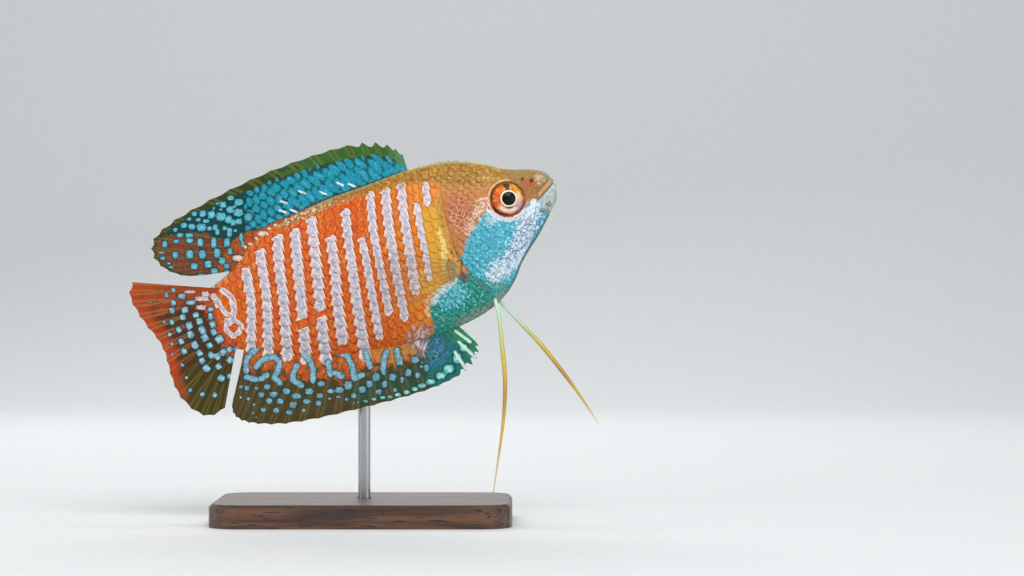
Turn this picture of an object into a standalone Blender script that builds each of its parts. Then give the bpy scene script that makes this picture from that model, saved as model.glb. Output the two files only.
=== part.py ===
"""Dwarf gourami, adult male, as a still life-size display model on a plain stand.

The fish is modelled in its own frame and posed by one empty. In that frame a point is given by three sizes
in millimetres: s, how far it lies behind the snout tip, h, how high above the body axis, and w, how far to
the fish's left. Head, trunk and tail stalk are one body surface, parted by thin cuts along the gill
opening, the mouth and the root of the stalk. Each fin is a sheet whose rays are ridges raised in its surface.
"""

import math

import bmesh
import bpy
import numpy as np
from mathutils import Vector

MM = 0.001

# Pose and whole sizes
BODY_LENGTH = 69.3  # snout to the root of the tail fin
HEAD_UP_DEG = 21.0
SNOUT_X, SNOUT_Z = 37.7, 64.7  # where the snout tip stands over the base's centre
GAP = 0.3  # between touching pieces
SEAT_GAP = 0.46  # straight up from a ridge to the fin on it, whose sides slope away

# The body's outline and width, each as (s, size). Between them the curves are smooth.
BACK = [(0, 1.0), (0.9, 4.0), (2.1, 5.0), (4.4, 6.1), (8.0, 7.6), (12.1, 10.4), (17.3, 12.9), (24.0, 14.2),
        (34.0, 14.4), (44.0, 14.5), (51.0, 13.9), (56.0, 13.0), (60.0, 11.5), (63.5, 9.2), (66.5, 7.6),
        (69.3, 6.6)]
BELLY = [(0, 1.0), (0.8, -1.8), (2.6, -3.5), (6.3, -6.8), (11.4, -10.8), (15.9, -15.2), (18.6, -16.6),
         (22.9, -17.7), (28.0, -18.2), (35.6, -18.1), (43.5, -16.9), (51.2, -15.2), (58.5, -12.6), (65.5, -8.9),
         (69.3, -6.8)]
HALF_WIDTH = [(0, 0.0), (0.9, 1.7), (2.5, 2.5), (5.0, 3.2), (9.0, 4.1), (14.0, 5.0), (20.0, 5.6), (28.0, 6.0),
              (36.0, 5.8), (45.0, 4.9), (54.0, 3.6), (62.0, 2.2), (69.3, 0.9)]
WIDEST_AT = [(0, 1.0), (10.0, 0.4), (20.0, -0.6), (35.0, 0.2), (55.0, 0.8), (69.3, 0.0)]
# How full the section is: 2 is an ellipse, less is leaner towards the ridge
FULL_ABOVE = [(0, 2.1), (10.0, 2.0), (24.0, 1.85), (45.0, 1.7), (69.3, 1.8)]
FULL_BELOW = [(0, 2.1), (10.0, 1.8), (20.0, 1.7), (30.0, 1.6), (50.0, 1.5), (69.3, 1.8)]

# Gill opening, seen from the side: its rearmost point and how far it falls forward above and below
GILL_S, GILL_H = 22.6, -3.0
GILL_RISE, GILL_FALL = (16.0, 3.0), (12.5, 4.5)
COVER_LIFT = 0.42  # the gill cover's rim stands this proud of the trunk
COVER_TOP, COVER_FOOT = 9.5, -15.5
STALK_S = 60.0

# Mouth, from the lips to its corner, and the back of the lower jaw
MOUTH_FRONT, MOUTH_CORNER = (-0.6, 1.95), (4.2, -0.5)
JAW_HEEL = (6.6, -9.5)
LIP_RADIUS = 0.5

EYE_S, EYE_H, EYE_W = 9.7, 1.7, 3.1
EYE_RADIUS, EYE_DEPTH = 3.3, 1.75
EYE_FORWARD_DEG = 10.0
ORBIT_RADIUS = 0.42  # the ring of skin round the eye
NOSTRILS = [(4.0, 3.4, 0.42), (5.6, 4.3, 0.34)]  # s, h and radius

# Fins: each key ray is (root s, tip s, tip h), and the rays between them follow smoothly. The first rays of the
# upright fins are spines, whose tips stand free.
MEMBRANE, RAY = 0.5, 0.96  # thickness between the rays and on them
ROOT_THICK, EDGE_THICK = 0.9, 0.34
SPINE_NOTCH, RAY_NOTCH = 0.15, 0.015  # how far the membrane's edge dips behind a spine's tip and a ray's tip
DORSAL_KEYS = [(25.8, 25.6, 17.3), (27.8, 27.4, 19.9), (30.8, 31.0, 22.0), (34.6, 36.2, 23.0),
               (39.2, 42.6, 23.5), (44.4, 50.2, 23.6), (49.6, 58.0, 23.2), (54.4, 65.8, 22.4),
               (58.4, 72.4, 21.3), (61.0, 77.0, 19.5), (62.6, 78.4, 16.5), (63.7, 77.2, 13.2),
               (64.7, 74.2, 10.6), (65.6, 70.4, 9.2)]
DORSAL_RAYS, DORSAL_FREE_TIPS = 24, 5
ANAL_KEYS = [(27.2, 24.9, -21.6), (28.8, 25.6, -24.3), (30.8, 28.0, -26.2), (33.4, 31.8, -27.1),
             (37.4, 37.0, -27.4), (42.4, 44.2, -26.9), (47.4, 51.8, -26.0), (52.4, 59.6, -24.9),
             (57.2, 66.4, -23.4), (61.2, 71.4, -21.4), (64.4, 74.0, -19.4), (66.6, 74.4, -17.0),
             (67.7, 72.4, -13.8), (68.3, 70.2, -10.6)]
ANAL_RAYS, ANAL_FREE_TIPS = 29, 6
# Tail fin: each key ray is (root h, tip s, tip h), from the upper edge to the lower
TAIL_KEYS = [(6.3, 84.0, 13.0), (5.4, 85.5, 10.8), (4.2, 85.3, 7.4), (2.9, 84.5, 4.0), (1.5, 83.4, 0.8),
             (0.0, 83.0, -2.2), (-1.5, 83.3, -5.4), (-2.9, 83.5, -8.8), (-4.2, 83.0, -12.0),
             (-5.2, 81.2, -15.4), (-6.0, 78.8, -17.0), (-6.6, 75.8, -16.5)]
TAIL_RAYS = 15
# Pectoral fin: the root's line on the flank, then for each key ray the share of the way down that line, the s
# and h of its tip and how far out from the flank the tip stands
PECTORAL_ROOT = [(24.5, -5.6), (25.5, -9.3)]
PECTORAL_KEYS = [(0.0, 33.0, -0.6, 5.2), (0.2, 37.0, -1.9, 6.3), (0.45, 38.8, -5.0, 6.8),
                 (0.7, 37.6, -8.6, 6.4), (0.9, 33.6, -11.2, 5.4), (1.0, 29.6, -11.8, 4.2)]
PECTORAL_RAYS = 9

# Feelers, the long pelvic rays, as (s, h, w) along each. The right one hangs and the left one points ahead.
FEELER_RIGHT = [(19.0, -16.2, -1.4), (19.4, -18.9, -2.0), (20.8, -24.3, -2.9), (22.6, -30.6, -3.4),
                (25.0, -36.4, -3.5), (28.0, -42.2, -3.2), (32.6, -50.4, -2.4)]
FEELER_LEFT = [(18.2, -16.2, 1.4), (16.0, -21.6, 2.8), (13.7, -27.2, 3.9), (11.5, -34.2, 5.0),
               (10.0, -39.7, 5.7), (8.6, -46.0, 6.3)]
FEELER_WIDTHS = [(0.0, 0.72), (0.15, 0.66), (0.45, 0.86), (0.75, 0.58), (1.0, 0.32)]  # share along, diameter
FEELER_SIDES, FEELER_STEPS = 8, 22

# Display stand
BASE_LENGTH, BASE_WIDTH, BASE_HEIGHT = 58.0, 36.0, 4.5
BASE_CORNER, BASE_CHAMFER = 6.0, 0.7
ROD_RADIUS, ROD_X, ROD_Y = 1.2, 0.0, 2.4
SOCKET_DEPTH, ROD_TOP = 3.0, 37.0


def smooth(points, root=False):
    """A smooth function through points (x, y). With root it follows the square root of x, for a round snout."""
    def warp(x):
        return np.sqrt(np.maximum(x, 0.0)) if root else np.asarray(x, float)

    xs = warp(np.array([p[0] for p in points], float))
    ys = np.array([p[1] for p in points], float)
    secants = np.diff(ys) / np.diff(xs)
    steps = np.diff(xs)
    inner = (secants[:-1] * steps[1:] + secants[1:] * steps[:-1]) / (steps[1:] + steps[:-1])
    slopes = np.concatenate([secants[:1], inner, secants[-1:]])

    def value(x):
        x = np.clip(warp(x), xs[0], xs[-1])
        i = np.clip(np.searchsorted(xs, x) - 1, 0, len(xs) - 2)
        u = (x - xs[i]) / steps[i]
        rise = (3 - 2 * u) * u * u
        lean_in, lean_out = u * (1 - u) ** 2, u * u * (u - 1)
        return ys[i] + (ys[i + 1] - ys[i]) * rise + steps[i] * (slopes[i] * lean_in + slopes[i + 1] * lean_out)

    return value


back = smooth(BACK, root=True)
belly = smooth(BELLY, root=True)
half_width = smooth(HALF_WIDTH, root=True)
widest_at = smooth(WIDEST_AT)
full_above = smooth(FULL_ABOVE)
full_below = smooth(FULL_BELOW)


def window(x, low, high, soft):
    """1 between low and high, falling smoothly to 0 over the width soft outside them."""
    def step(u):
        u = min(max(u, 0.0), 1.0)
        return u * u * (3 - 2 * u)

    return step((x - low) / soft + 1) * step((high - x) / soft + 1)


def gill_edge(h):
    """The s of the gill opening at height h."""
    reach, fall = GILL_RISE if h > GILL_H else GILL_FALL
    return GILL_S - fall * ((h - GILL_H) / reach) ** 2


def surface_width(s, h):
    """Half the body's width at (s, h), or 0 outside its outline."""
    middle = float(widest_at(s))
    if h > middle:
        share, power = (h - middle) / max(float(back(s)) - middle, 1e-6), float(full_above(s))
    else:
        share, power = (middle - h) / max(middle - float(belly(s)), 1e-6), float(full_below(s))
    return float(half_width(s)) * max(1 - min(share, 1.0) ** power, 0.0) ** (1 / power)


def head_lift(s, h):
    """How far the gill cover swells out of the plain body surface."""
    behind = window(s, gill_edge(h) - 5.5, gill_edge(h) + 1, 4.0)
    return COVER_LIFT * behind * window(h, COVER_FOOT + 4.0, COVER_TOP - 4.0, 4.0)


def at(s, h, w=0.0):
    """A point of the fish's own frame, in metres."""
    return Vector((-s, w, h)) * MM


def new_object(name, mesh, colour=None, roughness=0.5, metallic=0.0, parent=None):
    """An object of the model, with a material of its own if it has a colour."""
    obj = bpy.data.objects.new(name, mesh)
    bpy.context.scene.collection.objects.link(obj)
    obj.parent = parent
    if colour:
        material = bpy.data.materials.new(name)
        material.use_nodes = True
        shader = material.node_tree.nodes["Principled BSDF"]
        shader.inputs["Base Color"].default_value = (*colour, 1.0)
        shader.inputs["Roughness"].default_value = roughness
        shader.inputs["Metallic"].default_value = metallic
        mesh.materials.append(material)
    return obj


def helper(obj):
    """Marks a cutter or a shape to be joined, which isn't a piece of the model."""
    obj.hide_render = True
    obj.display_type = "WIRE"
    return obj


def make_mesh(name, points, faces, smooth_shading=True):
    """A mesh with its faces turned outwards."""
    mesh = bpy.data.meshes.new(name)
    mesh.from_pydata(points, [], faces)
    work = bmesh.new()
    work.from_mesh(mesh)
    bmesh.ops.recalc_face_normals(work, faces=work.faces)
    work.to_mesh(mesh)
    work.free()
    if smooth_shading:
        mesh.shade_smooth()
    return mesh


def apply_boolean(obj, operation, other):
    """Cuts or joins other into obj and applies it. other is an object or a collection."""
    modifier = obj.modifiers.new(operation.lower(), "BOOLEAN")
    modifier.operation = operation
    modifier.solver = "EXACT"
    if isinstance(other, bpy.types.Collection):
        modifier.operand_type = "COLLECTION"
        modifier.collection = other
    else:
        modifier.object = other
    graph = bpy.context.evaluated_depsgraph_get()
    made = bpy.data.meshes.new_from_object(obj.evaluated_get(graph))
    obj.modifiers.remove(modifier)
    obj.data = made


def keep_largest(obj):
    """Leaves only the largest closed surface of a mesh."""
    work = bmesh.new()
    work.from_mesh(obj.data)
    work.faces.ensure_lookup_table()
    unseen = set(work.faces)
    shells = []
    while unseen:
        edge_of_search = [unseen.pop()]
        shell = []
        while edge_of_search:
            face = edge_of_search.pop()
            shell.append(face)
            for edge in face.edges:
                for other in edge.link_faces:
                    if other in unseen:
                        unseen.remove(other)
                        edge_of_search.append(other)
        shells.append(shell)
    shells.sort(key=lambda shell: sum(face.calc_area() for face in shell), reverse=True)
    for shell in shells[1:]:
        bmesh.ops.delete(work, geom=shell, context="FACES")
    loose = [v for v in work.verts if not v.link_faces]
    bmesh.ops.delete(work, geom=loose, context="VERTS")
    work.to_mesh(obj.data)
    work.free()


def section_point(s_of_h, turn, lift=None, swell=0.0):
    """The body surface at the angle turn round the section, where s_of_h gives s at each height."""
    h, s = 0.0, s_of_h(0.0)
    for _ in range(6):
        middle = float(widest_at(s))
        c, d = math.cos(turn), math.sin(turn)
        if c >= 0:
            power, reach = float(full_above(s)), float(back(s)) - middle
        else:
            power, reach = float(full_below(s)), middle - float(belly(s))
        h = middle + math.copysign(abs(c) ** (2 / power), c) * (reach + swell)
        s = s_of_h(h)
    w = (float(half_width(s)) + swell) * abs(d) ** (2 / power)
    if lift and w > 0:
        w += lift(s, h) * min(w / 2.0, 1.0)
    return at(s, h, math.copysign(w, d))


def loft(name, station_lines, around, pole=None, lift=None, swell=0.0):
    """A closed body through curved sections, each a function that gives s at a height.

    With pole the front ends in that point.
    """
    points, faces = [], []
    for s_of_h in station_lines:
        for k in range(around):
            points.append(section_point(s_of_h, 2 * math.pi * k / around, lift, swell))
    rings = len(station_lines)
    for i in range(rings - 1):
        for k in range(around):
            n = (k + 1) % around
            faces.append((i * around + k, (i + 1) * around + k, (i + 1) * around + n, i * around + n))

    def ladder(ring):
        """Closes a section with rungs from the left side to the right."""
        first = ring * around
        half = around // 2
        faces.append((first, first + 1, first + around - 1))
        for k in range(1, half - 1):
            faces.append((first + k, first + k + 1, first + around - k - 1, first + around - k))
        faces.append((first + half - 1, first + half, first + half + 1))

    ladder(rings - 1)
    if pole is None:
        ladder(0)
    else:
        points.append(pole)
        for k in range(around):
            faces.append((len(points) - 1, k, (k + 1) % around))
    return make_mesh(name, points, faces)


def prism(name, outline, half_depth, parent):
    """A cutter: an outline of (s, h) points, extruded to both sides of the fish."""
    count = len(outline)
    points = [at(s, h, w) for w in (-half_depth, half_depth) for s, h in outline]
    faces = [tuple(range(count)), tuple(range(count, 2 * count))]
    faces += [(i, (i + 1) % count, count + (i + 1) % count, count + i) for i in range(count)]
    return helper(new_object(name, make_mesh(name, points, faces, False), parent=parent))


def tube(path, radii, sides, aside, start_cut=None):
    """Points and faces of a round tube along a path of points in metres.

    aside is a direction the path never takes, and start_cut moves the first ring's points.
    """
    points, faces = [], []
    for i, centre in enumerate(path):
        ahead = (path[min(i + 1, len(path) - 1)] - path[max(i - 1, 0)]).normalized()
        across = ahead.cross(aside).normalized()
        up = ahead.cross(across)
        for k in range(sides):
            turn = 2 * math.pi * k / sides
            point = centre + (across * math.cos(turn) + up * math.sin(turn)) * radii[i]
            points.append(start_cut(point) if start_cut and i == 0 else point)
    for i in range(len(path) - 1):
        for k in range(sides):
            n = (k + 1) % sides
            faces.append((i * sides + k, (i + 1) * sides + k, (i + 1) * sides + n, i * sides + n))
    faces.append(tuple(range(sides)))
    faces.append(tuple(range((len(path) - 1) * sides, len(path) * sides)))
    return points, faces


def body_pieces(pose):
    """Head with its lower jaw, trunk and tail stalk."""
    head_lines = [lambda h, t=t: gill_edge(h) * t * t for t in np.linspace(0.1, 1.0, 24)]
    head = new_object("head", loft("head", head_lines, 44, at(0, 1.0), head_lift), (0.72, 0.42, 0.16), 0.42,
                      parent=pose)
    front = 1.3 * GAP
    trunk_lines = [lambda h, t=t: (gill_edge(h) + front) * (1 - t) + STALK_S * t for t in np.linspace(0, 1, 21)]
    trunk = new_object("trunk", loft("trunk", trunk_lines, 36), (0.80, 0.30, 0.10), 0.4, parent=pose)
    stalk_lines = [lambda h, s=s: s for s in np.linspace(STALK_S + GAP, BODY_LENGTH, 7)]
    stalk = new_object("tail_stalk", loft("tail_stalk", stalk_lines, 36), (0.80, 0.26, 0.10), 0.4, parent=pose)
    return head, trunk, stalk


def lip_path(offset):
    """One lip's middle line from its left corner to its right one, offset above or below the mouth line."""
    (s0, h0), (s1, h1) = MOUTH_FRONT, MOUTH_CORNER

    def height(s):
        return h0 + (h1 - h0) * (s - s0) / (s1 - s0) + offset

    front = 0.02
    while surface_width(front, height(front)) < 0.15:
        front += 0.01
    path = []
    for share in np.linspace(-1, 1, 15):
        s = front + (s1 - 0.5 - front) * share * share
        w = (surface_width(s, height(s)) - 0.12) if abs(share) > 0.01 else 0.0
        path.append(at(s, height(s), -math.copysign(w, share)))
    return path


def orbit_mesh(side):
    """A ring of skin round the eye, lying on the head's surface."""
    steps, sides = 28, 8
    radius = EYE_RADIUS + GAP + 0.55 * ORBIT_RADIUS
    points, faces = [], []
    for i in range(steps):
        turn = 2 * math.pi * i / steps
        c, d = math.cos(turn), math.sin(turn)
        depth = surface_width(EYE_S + radius * c, EYE_H + radius * d) - 0.45 * ORBIT_RADIUS
        for k in range(sides):
            tilt = 2 * math.pi * k / sides
            reach = radius + ORBIT_RADIUS * math.cos(tilt)
            w = depth + ORBIT_RADIUS * math.sin(tilt)
            points.append(at(EYE_S + reach * c, EYE_H + reach * d, side * w))
    for i in range(steps):
        j = (i + 1) % steps
        for k in range(sides):
            n = (k + 1) % sides
            faces.append((i * sides + k, j * sides + k, j * sides + n, i * sides + n))
    return make_mesh("orbit", points, faces)


def finish_head(head, pose):
    """Cuts the eye sockets, the nostrils and the lower jaw out of the head, and gives both jaws their lips."""
    socket_radius, socket_depth = EYE_RADIUS + 1.15 * GAP, EYE_DEPTH + 1.15 * GAP
    for side in (1, -1):
        orbit = helper(new_object("orbit", orbit_mesh(side), parent=pose))
        bpy.context.view_layer.update()
        apply_boolean(head, "UNION", orbit)
        bpy.data.objects.remove(orbit)
        cutter = eye_shape("socket", side, socket_radius, socket_depth, pose)
        apply_boolean(head, "DIFFERENCE", helper(cutter))
        bpy.data.objects.remove(cutter)
        for s, h, radius in NOSTRILS:
            pit_mesh = bpy.data.meshes.new("nostril")
            work = bmesh.new()
            bmesh.ops.create_icosphere(work, subdivisions=1, radius=radius * MM)
            work.to_mesh(pit_mesh)
            work.free()
            pit = helper(new_object("nostril", pit_mesh, parent=pose))
            pit.location = at(s, h, side * surface_width(s, h))
            bpy.context.view_layer.update()
            apply_boolean(head, "DIFFERENCE", pit)
            bpy.data.objects.remove(pit)

    (s0, h0), (s1, h1) = MOUTH_FRONT, MOUTH_CORNER
    half_gap = 0.56 * GAP
    far = 4.0

    def wedge(grow):
        """The lower jaw's outline from the side, grown past the mouth line and the jaw's back edge."""
        return [(s0 - far, h0 + grow + far * 0.4), (s0, h0 + grow), (s1 + grow, h1 + grow),
                (JAW_HEEL[0] + grow, JAW_HEEL[1]), (s0 - far, JAW_HEEL[1])]

    jaw = new_object("lower_jaw", head.data.copy(), (0.55, 0.62, 0.66), 0.42, parent=pose)
    jaw.data.materials.pop(index=0)
    inside = prism("jaw_outline", wedge(-half_gap), 9.0, pose)
    outside = prism("jaw_room", wedge(half_gap), 9.0, pose)
    bpy.context.view_layer.update()
    apply_boolean(jaw, "INTERSECT", inside)
    apply_boolean(head, "DIFFERENCE", outside)
    for target, offset in ((head, half_gap + LIP_RADIUS + 0.05), (jaw, -half_gap - LIP_RADIUS - 0.05)):
        path = lip_path(offset)
        ends = np.linspace(-1, 1, len(path))
        radii = [(LIP_RADIUS - 0.22 * abs(e) ** 3) * MM for e in ends]
        lip = helper(new_object("lip", make_mesh("lip", *tube(path, radii, 8, Vector((0, 0, 1)))), parent=pose))
        bpy.context.view_layer.update()
        apply_boolean(target, "UNION", lip)
        bpy.data.objects.remove(lip)
        keep_largest(target)
    bpy.data.objects.remove(inside)
    bpy.data.objects.remove(outside)


def eye_shape(name, side, radius, depth, pose):
    """A flattened ball whose axis points out of the head and a little forward."""
    mesh = bpy.data.meshes.new(name)
    work = bmesh.new()
    bmesh.ops.create_icosphere(work, subdivisions=3, radius=1.0)
    for vert in work.verts:
        vert.co = Vector((vert.co.x * radius, vert.co.y * depth, vert.co.z * radius)) * MM
    work.to_mesh(mesh)
    work.free()
    mesh.shade_smooth()
    obj = new_object(name, mesh, parent=pose)
    obj.location = at(EYE_S, EYE_H, side * EYE_W)
    obj.rotation_euler.z = -side * math.radians(EYE_FORWARD_DEG)
    bpy.context.view_layer.update()
    return obj


def key_rays(keys, count):
    """count rays read smoothly from the key rays, each a list of the same sizes."""
    places = np.linspace(0, len(keys) - 1, count)
    columns = []
    for column in range(len(keys[0])):
        line = smooth([(i, key[column]) for i, key in enumerate(keys)])
        columns.append([float(line(p)) for p in places])
    return list(zip(*columns))


def fin_mesh(name, roots, tips, side_way, notch, rows, branches=False, seat=None, saddle=False):
    """A fin as a closed sheet. roots and tips are (s, h, w) in millimetres, one of each for a ray.

    side_way gives how far a point is waved to the left, notch how far the membrane's edge dips behind a ray's
    tip, and seat moves a root point on to what the fin grows from, which saddle makes a ridge. Both faces are
    split into triangles alike.
    """
    steps = (0.0, 0.2, 0.5, 0.8) if branches else (0.0, 0.17, 0.5, 0.83)
    columns = []
    for i in range(len(roots)):
        for step in steps if i < len(roots) - 1 else steps[:1]:
            j = min(i + 1, len(roots) - 1)
            root = np.array(roots[i]) * (1 - step) + np.array(roots[j]) * step
            tip = np.array(tips[i]) * (1 - step) + np.array(tips[j]) * step
            on_ray = step == 0.0
            in_branch = branches and step in (0.2, 0.8)
            dip = 0.0 if on_ray else notch(i + step) * (0.4 if in_branch else 1.0)
            columns.append((root, tip, on_ray, in_branch, dip))
    points = []
    for v in np.linspace(0, 1, rows):
        for root, tip, on_ray, in_branch, dip in columns:
            reach = v * (1 - dip)
            along = tip - root
            middle = root + along * reach
            middle[2] += side_way(middle[0], middle[1], v)
            ridge = (1 - 0.4 * v) if on_ray else (max(0.0, v - 0.45) * 1.1 if in_branch else 0.0)
            thick = MEMBRANE + (RAY - MEMBRANE) * ridge
            if v == 0:
                thick = ROOT_THICK
            elif v == 1:
                thick = EDGE_THICK
            across = np.array([0.0, 0.0, thick / 2])
            if side_way is pectoral_wave:
                across = np.array([0.0, 0.35, 0.94]) * thick / 2
            for face in (1, -1):
                s, h, w = middle + across * face
                points.append(seat(s, h, w) if seat and v == 0 else at(s, h, w))
    wide = len(columns)
    faces = []
    crest = len(points)
    if saddle:
        points += [seat(root[0], root[1], 0.0) for root, *_ in columns]

    def number(row, column, face):
        return (row * wide + column) * 2 + face

    for r in range(rows - 1):
        for c in range(wide - 1):
            a, b = (r, c), (r + 1, c)
            d, e = (r + 1, c + 1), (r, c + 1)
            for face in (0, 1):
                corners = [number(*p, face) for p in (a, b, d, e)]
                faces.append((corners[0], corners[1], corners[2]))
                faces.append((corners[0], corners[2], corners[3]))
    rim = [(0, c) for c in range(wide)] + [(r, wide - 1) for r in range(1, rows)]
    rim += [(rows - 1, c) for c in range(wide - 2, -1, -1)] + [(r, 0) for r in range(rows - 2, 0, -1)]
    for here, there in zip(rim, rim[1:] + rim[:1]):
        a, b = number(*here, 0), number(*here, 1)
        c, d = number(*there, 1), number(*there, 0)
        if saddle and here[0] == there[0] == 0:
            m, n = crest + here[1], crest + there[1]
            faces += [(a, m, n), (a, n, d), (m, b, c), (m, c, n)]
        else:
            faces += [(a, b, c), (a, c, d)]
    if saddle:
        faces += [(number(0, c, 0), crest + c, number(0, c, 1)) for c in (0, wide - 1)]
    return make_mesh(name, points, faces)


def dorsal_wave(s, h, v):
    """The dorsal fin's free rear part swings a little to the left and ripples."""
    return v * v * (0.9 * window(s, 66, 90, 16) + 0.35 * math.sin(s / 5.2))


def anal_wave(s, h, v):
    """The anal fin ripples, and its rear corner swings to the right, clear of the tail."""
    return -v * v * (0.8 * window(s, 66, 90, 14) + 0.35 * math.sin(s / 4.6 + 1.0))


def tail_wave(s, h, v):
    """The tail fin curves gently to the left, more at its upper lobe."""
    return v * v * (1.1 + 0.05 * h) + 0.25 * v * math.sin(h / 3.4)


def pectoral_wave(s, h, v):
    """A pectoral fin is flat."""
    return 0.0


def ridge_seat(line, up):
    """Sets a root point over the body's ridge, which falls away to both sides."""
    def seat(s, h, w):
        edge = float(line(s))
        drop = 0.0
        while surface_width(s, edge - up * drop) < abs(w) - 0.15 and drop < 2.0:
            drop += 0.02
        return at(s, edge - up * drop + up * SEAT_GAP, w)

    return seat


def notches(free_tips):
    """How far the membrane's edge dips at each place along a fin, more between its first free_tips rays."""
    return lambda i: SPINE_NOTCH if i < free_tips else RAY_NOTCH


def upright_fins(pose):
    """Dorsal, anal and tail fins, which stand in the fish's middle plane."""
    rays = key_rays(DORSAL_KEYS, DORSAL_RAYS)
    roots = [(s, float(back(s)) + SEAT_GAP, 0.0) for s, _, _ in rays]
    tips = [(s, h, 0.0) for _, s, h in rays]
    mesh = fin_mesh("dorsal_fin", roots, tips, dorsal_wave, notches(DORSAL_FREE_TIPS), 7,
                    seat=ridge_seat(back, 1), saddle=True)
    new_object("dorsal_fin", mesh, (0.10, 0.42, 0.62), 0.4, parent=pose)

    rays = key_rays(ANAL_KEYS, ANAL_RAYS)
    roots = [(s, float(belly(s)) - SEAT_GAP, 0.0) for s, _, _ in rays]
    tips = [(s, h, 0.0) for _, s, h in rays]
    mesh = fin_mesh("anal_fin", roots, tips, anal_wave, notches(ANAL_FREE_TIPS), 7,
                    seat=ridge_seat(belly, -1), saddle=True)
    new_object("anal_fin", mesh, (0.38, 0.18, 0.10), 0.4, parent=pose)

    rays = key_rays(TAIL_KEYS, TAIL_RAYS)
    roots = [(BODY_LENGTH + GAP, h, 0.0) for h, _, _ in rays]
    tips = [(s, h, 0.0) for _, s, h in rays]
    mesh = fin_mesh("tail_fin", roots, tips, tail_wave, notches(0), 8, branches=True)
    new_object("tail_fin", mesh, (0.60, 0.16, 0.07), 0.4, parent=pose)


def pectoral_fins(pose):
    """The pair of clear fins on the flanks, each fanned back and out from its root."""
    (s0, h0), (s1, h1) = PECTORAL_ROOT
    for name, side in (("pectoral_fin_left", 1), ("pectoral_fin_right", -1)):
        roots, tips = [], []
        for share, tip_s, tip_h, out in key_rays(PECTORAL_KEYS, PECTORAL_RAYS):
            s, h = s0 + (s1 - s0) * share, h0 + (h1 - h0) * share
            roots.append((s, h, side * (surface_width(s, h) + GAP + ROOT_THICK / 2)))
            tips.append((tip_s, tip_h, side * (surface_width(tip_s, tip_h) + out)))

        def seat(s, h, w, side=side):
            """The inner face's root lies on the flank, and the outer face's root just ahead of it."""
            if abs(w) > surface_width(s, h) + GAP + ROOT_THICK / 2:
                s = s - ROOT_THICK
            return at(s, h, side * (surface_width(s, h) + 1.1 * GAP))

        mesh = fin_mesh(name, roots, tips, pectoral_wave, notches(0), 6, seat=seat)
        new_object(name, mesh, (0.75, 0.62, 0.42), 0.35, parent=pose)


def feelers(pose):
    """The two thread-like pelvic fins, each thickest in the middle and drawn out to a fine tip."""
    widths = smooth(FEELER_WIDTHS)
    for name, route in (("feeler_left", FEELER_LEFT), ("feeler_right", FEELER_RIGHT)):
        lines = [smooth([(i, point[axis]) for i, point in enumerate(route)]) for axis in range(3)]
        shares = np.linspace(0, 1, FEELER_STEPS)
        places = shares * (len(route) - 1)
        path = [at(*(float(line(p)) for line in lines)) for p in places]
        radii = [float(widths(share)) / 2 * MM for share in shares]

        def on_breast(point):
            """Puts a point of the root ring just under the breast."""
            s, w = -point.x / MM, point.y / MM
            h = float(belly(s))
            while surface_width(s, h) < abs(w):
                h += 0.02
            return at(s, h - 1.6 * GAP, w)

        mesh = make_mesh(name, *tube(path, radii, FEELER_SIDES, Vector((0, 1, 0)), on_breast))
        new_object(name, mesh, (0.80, 0.66, 0.25), 0.35, parent=pose)


def rounded_box(name, length, width, low, high, corner, chamfer):
    """A plate with round corners and a chamfered top edge."""
    outline = []
    for centre_x, centre_y, first in ((1, 1, 0), (-1, 1, 90), (-1, -1, 180), (1, -1, 270)):
        for step in range(5):
            turn = math.radians(first + 90 * step / 4)
            outline.append((centre_x * (length / 2 - corner), centre_y * (width / 2 - corner),
                            math.cos(turn), math.sin(turn)))
    levels = [(low, 0.0), (high - chamfer, 0.0), (high, chamfer)]
    points = [Vector((x + c * (corner - inset), y + d * (corner - inset), z)) * MM
              for z, inset in levels for x, y, c, d in outline]
    count = len(outline)
    faces = [tuple(range(count)), tuple(range(2 * count, 3 * count))]
    for level in range(2):
        for k in range(count):
            n = (k + 1) % count
            low_k, low_n = level * count + k, level * count + n
            faces.append((low_k, low_n, low_n + count, low_k + count))
    return make_mesh(name, points, faces, False)


def cylinder(name, radius, low, high, x, y, sides):
    """An upright round bar."""
    turns = [2 * math.pi * k / sides for k in range(sides)]
    points = [Vector((x + radius * math.cos(turn), y + radius * math.sin(turn), z)) * MM
              for z in (low, high) for turn in turns]
    faces = [tuple(range(sides)), tuple(range(sides, 2 * sides))]
    faces += [(k, (k + 1) % sides, sides + (k + 1) % sides, sides + k) for k in range(sides)]
    return make_mesh(name, points, faces, False)


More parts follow.
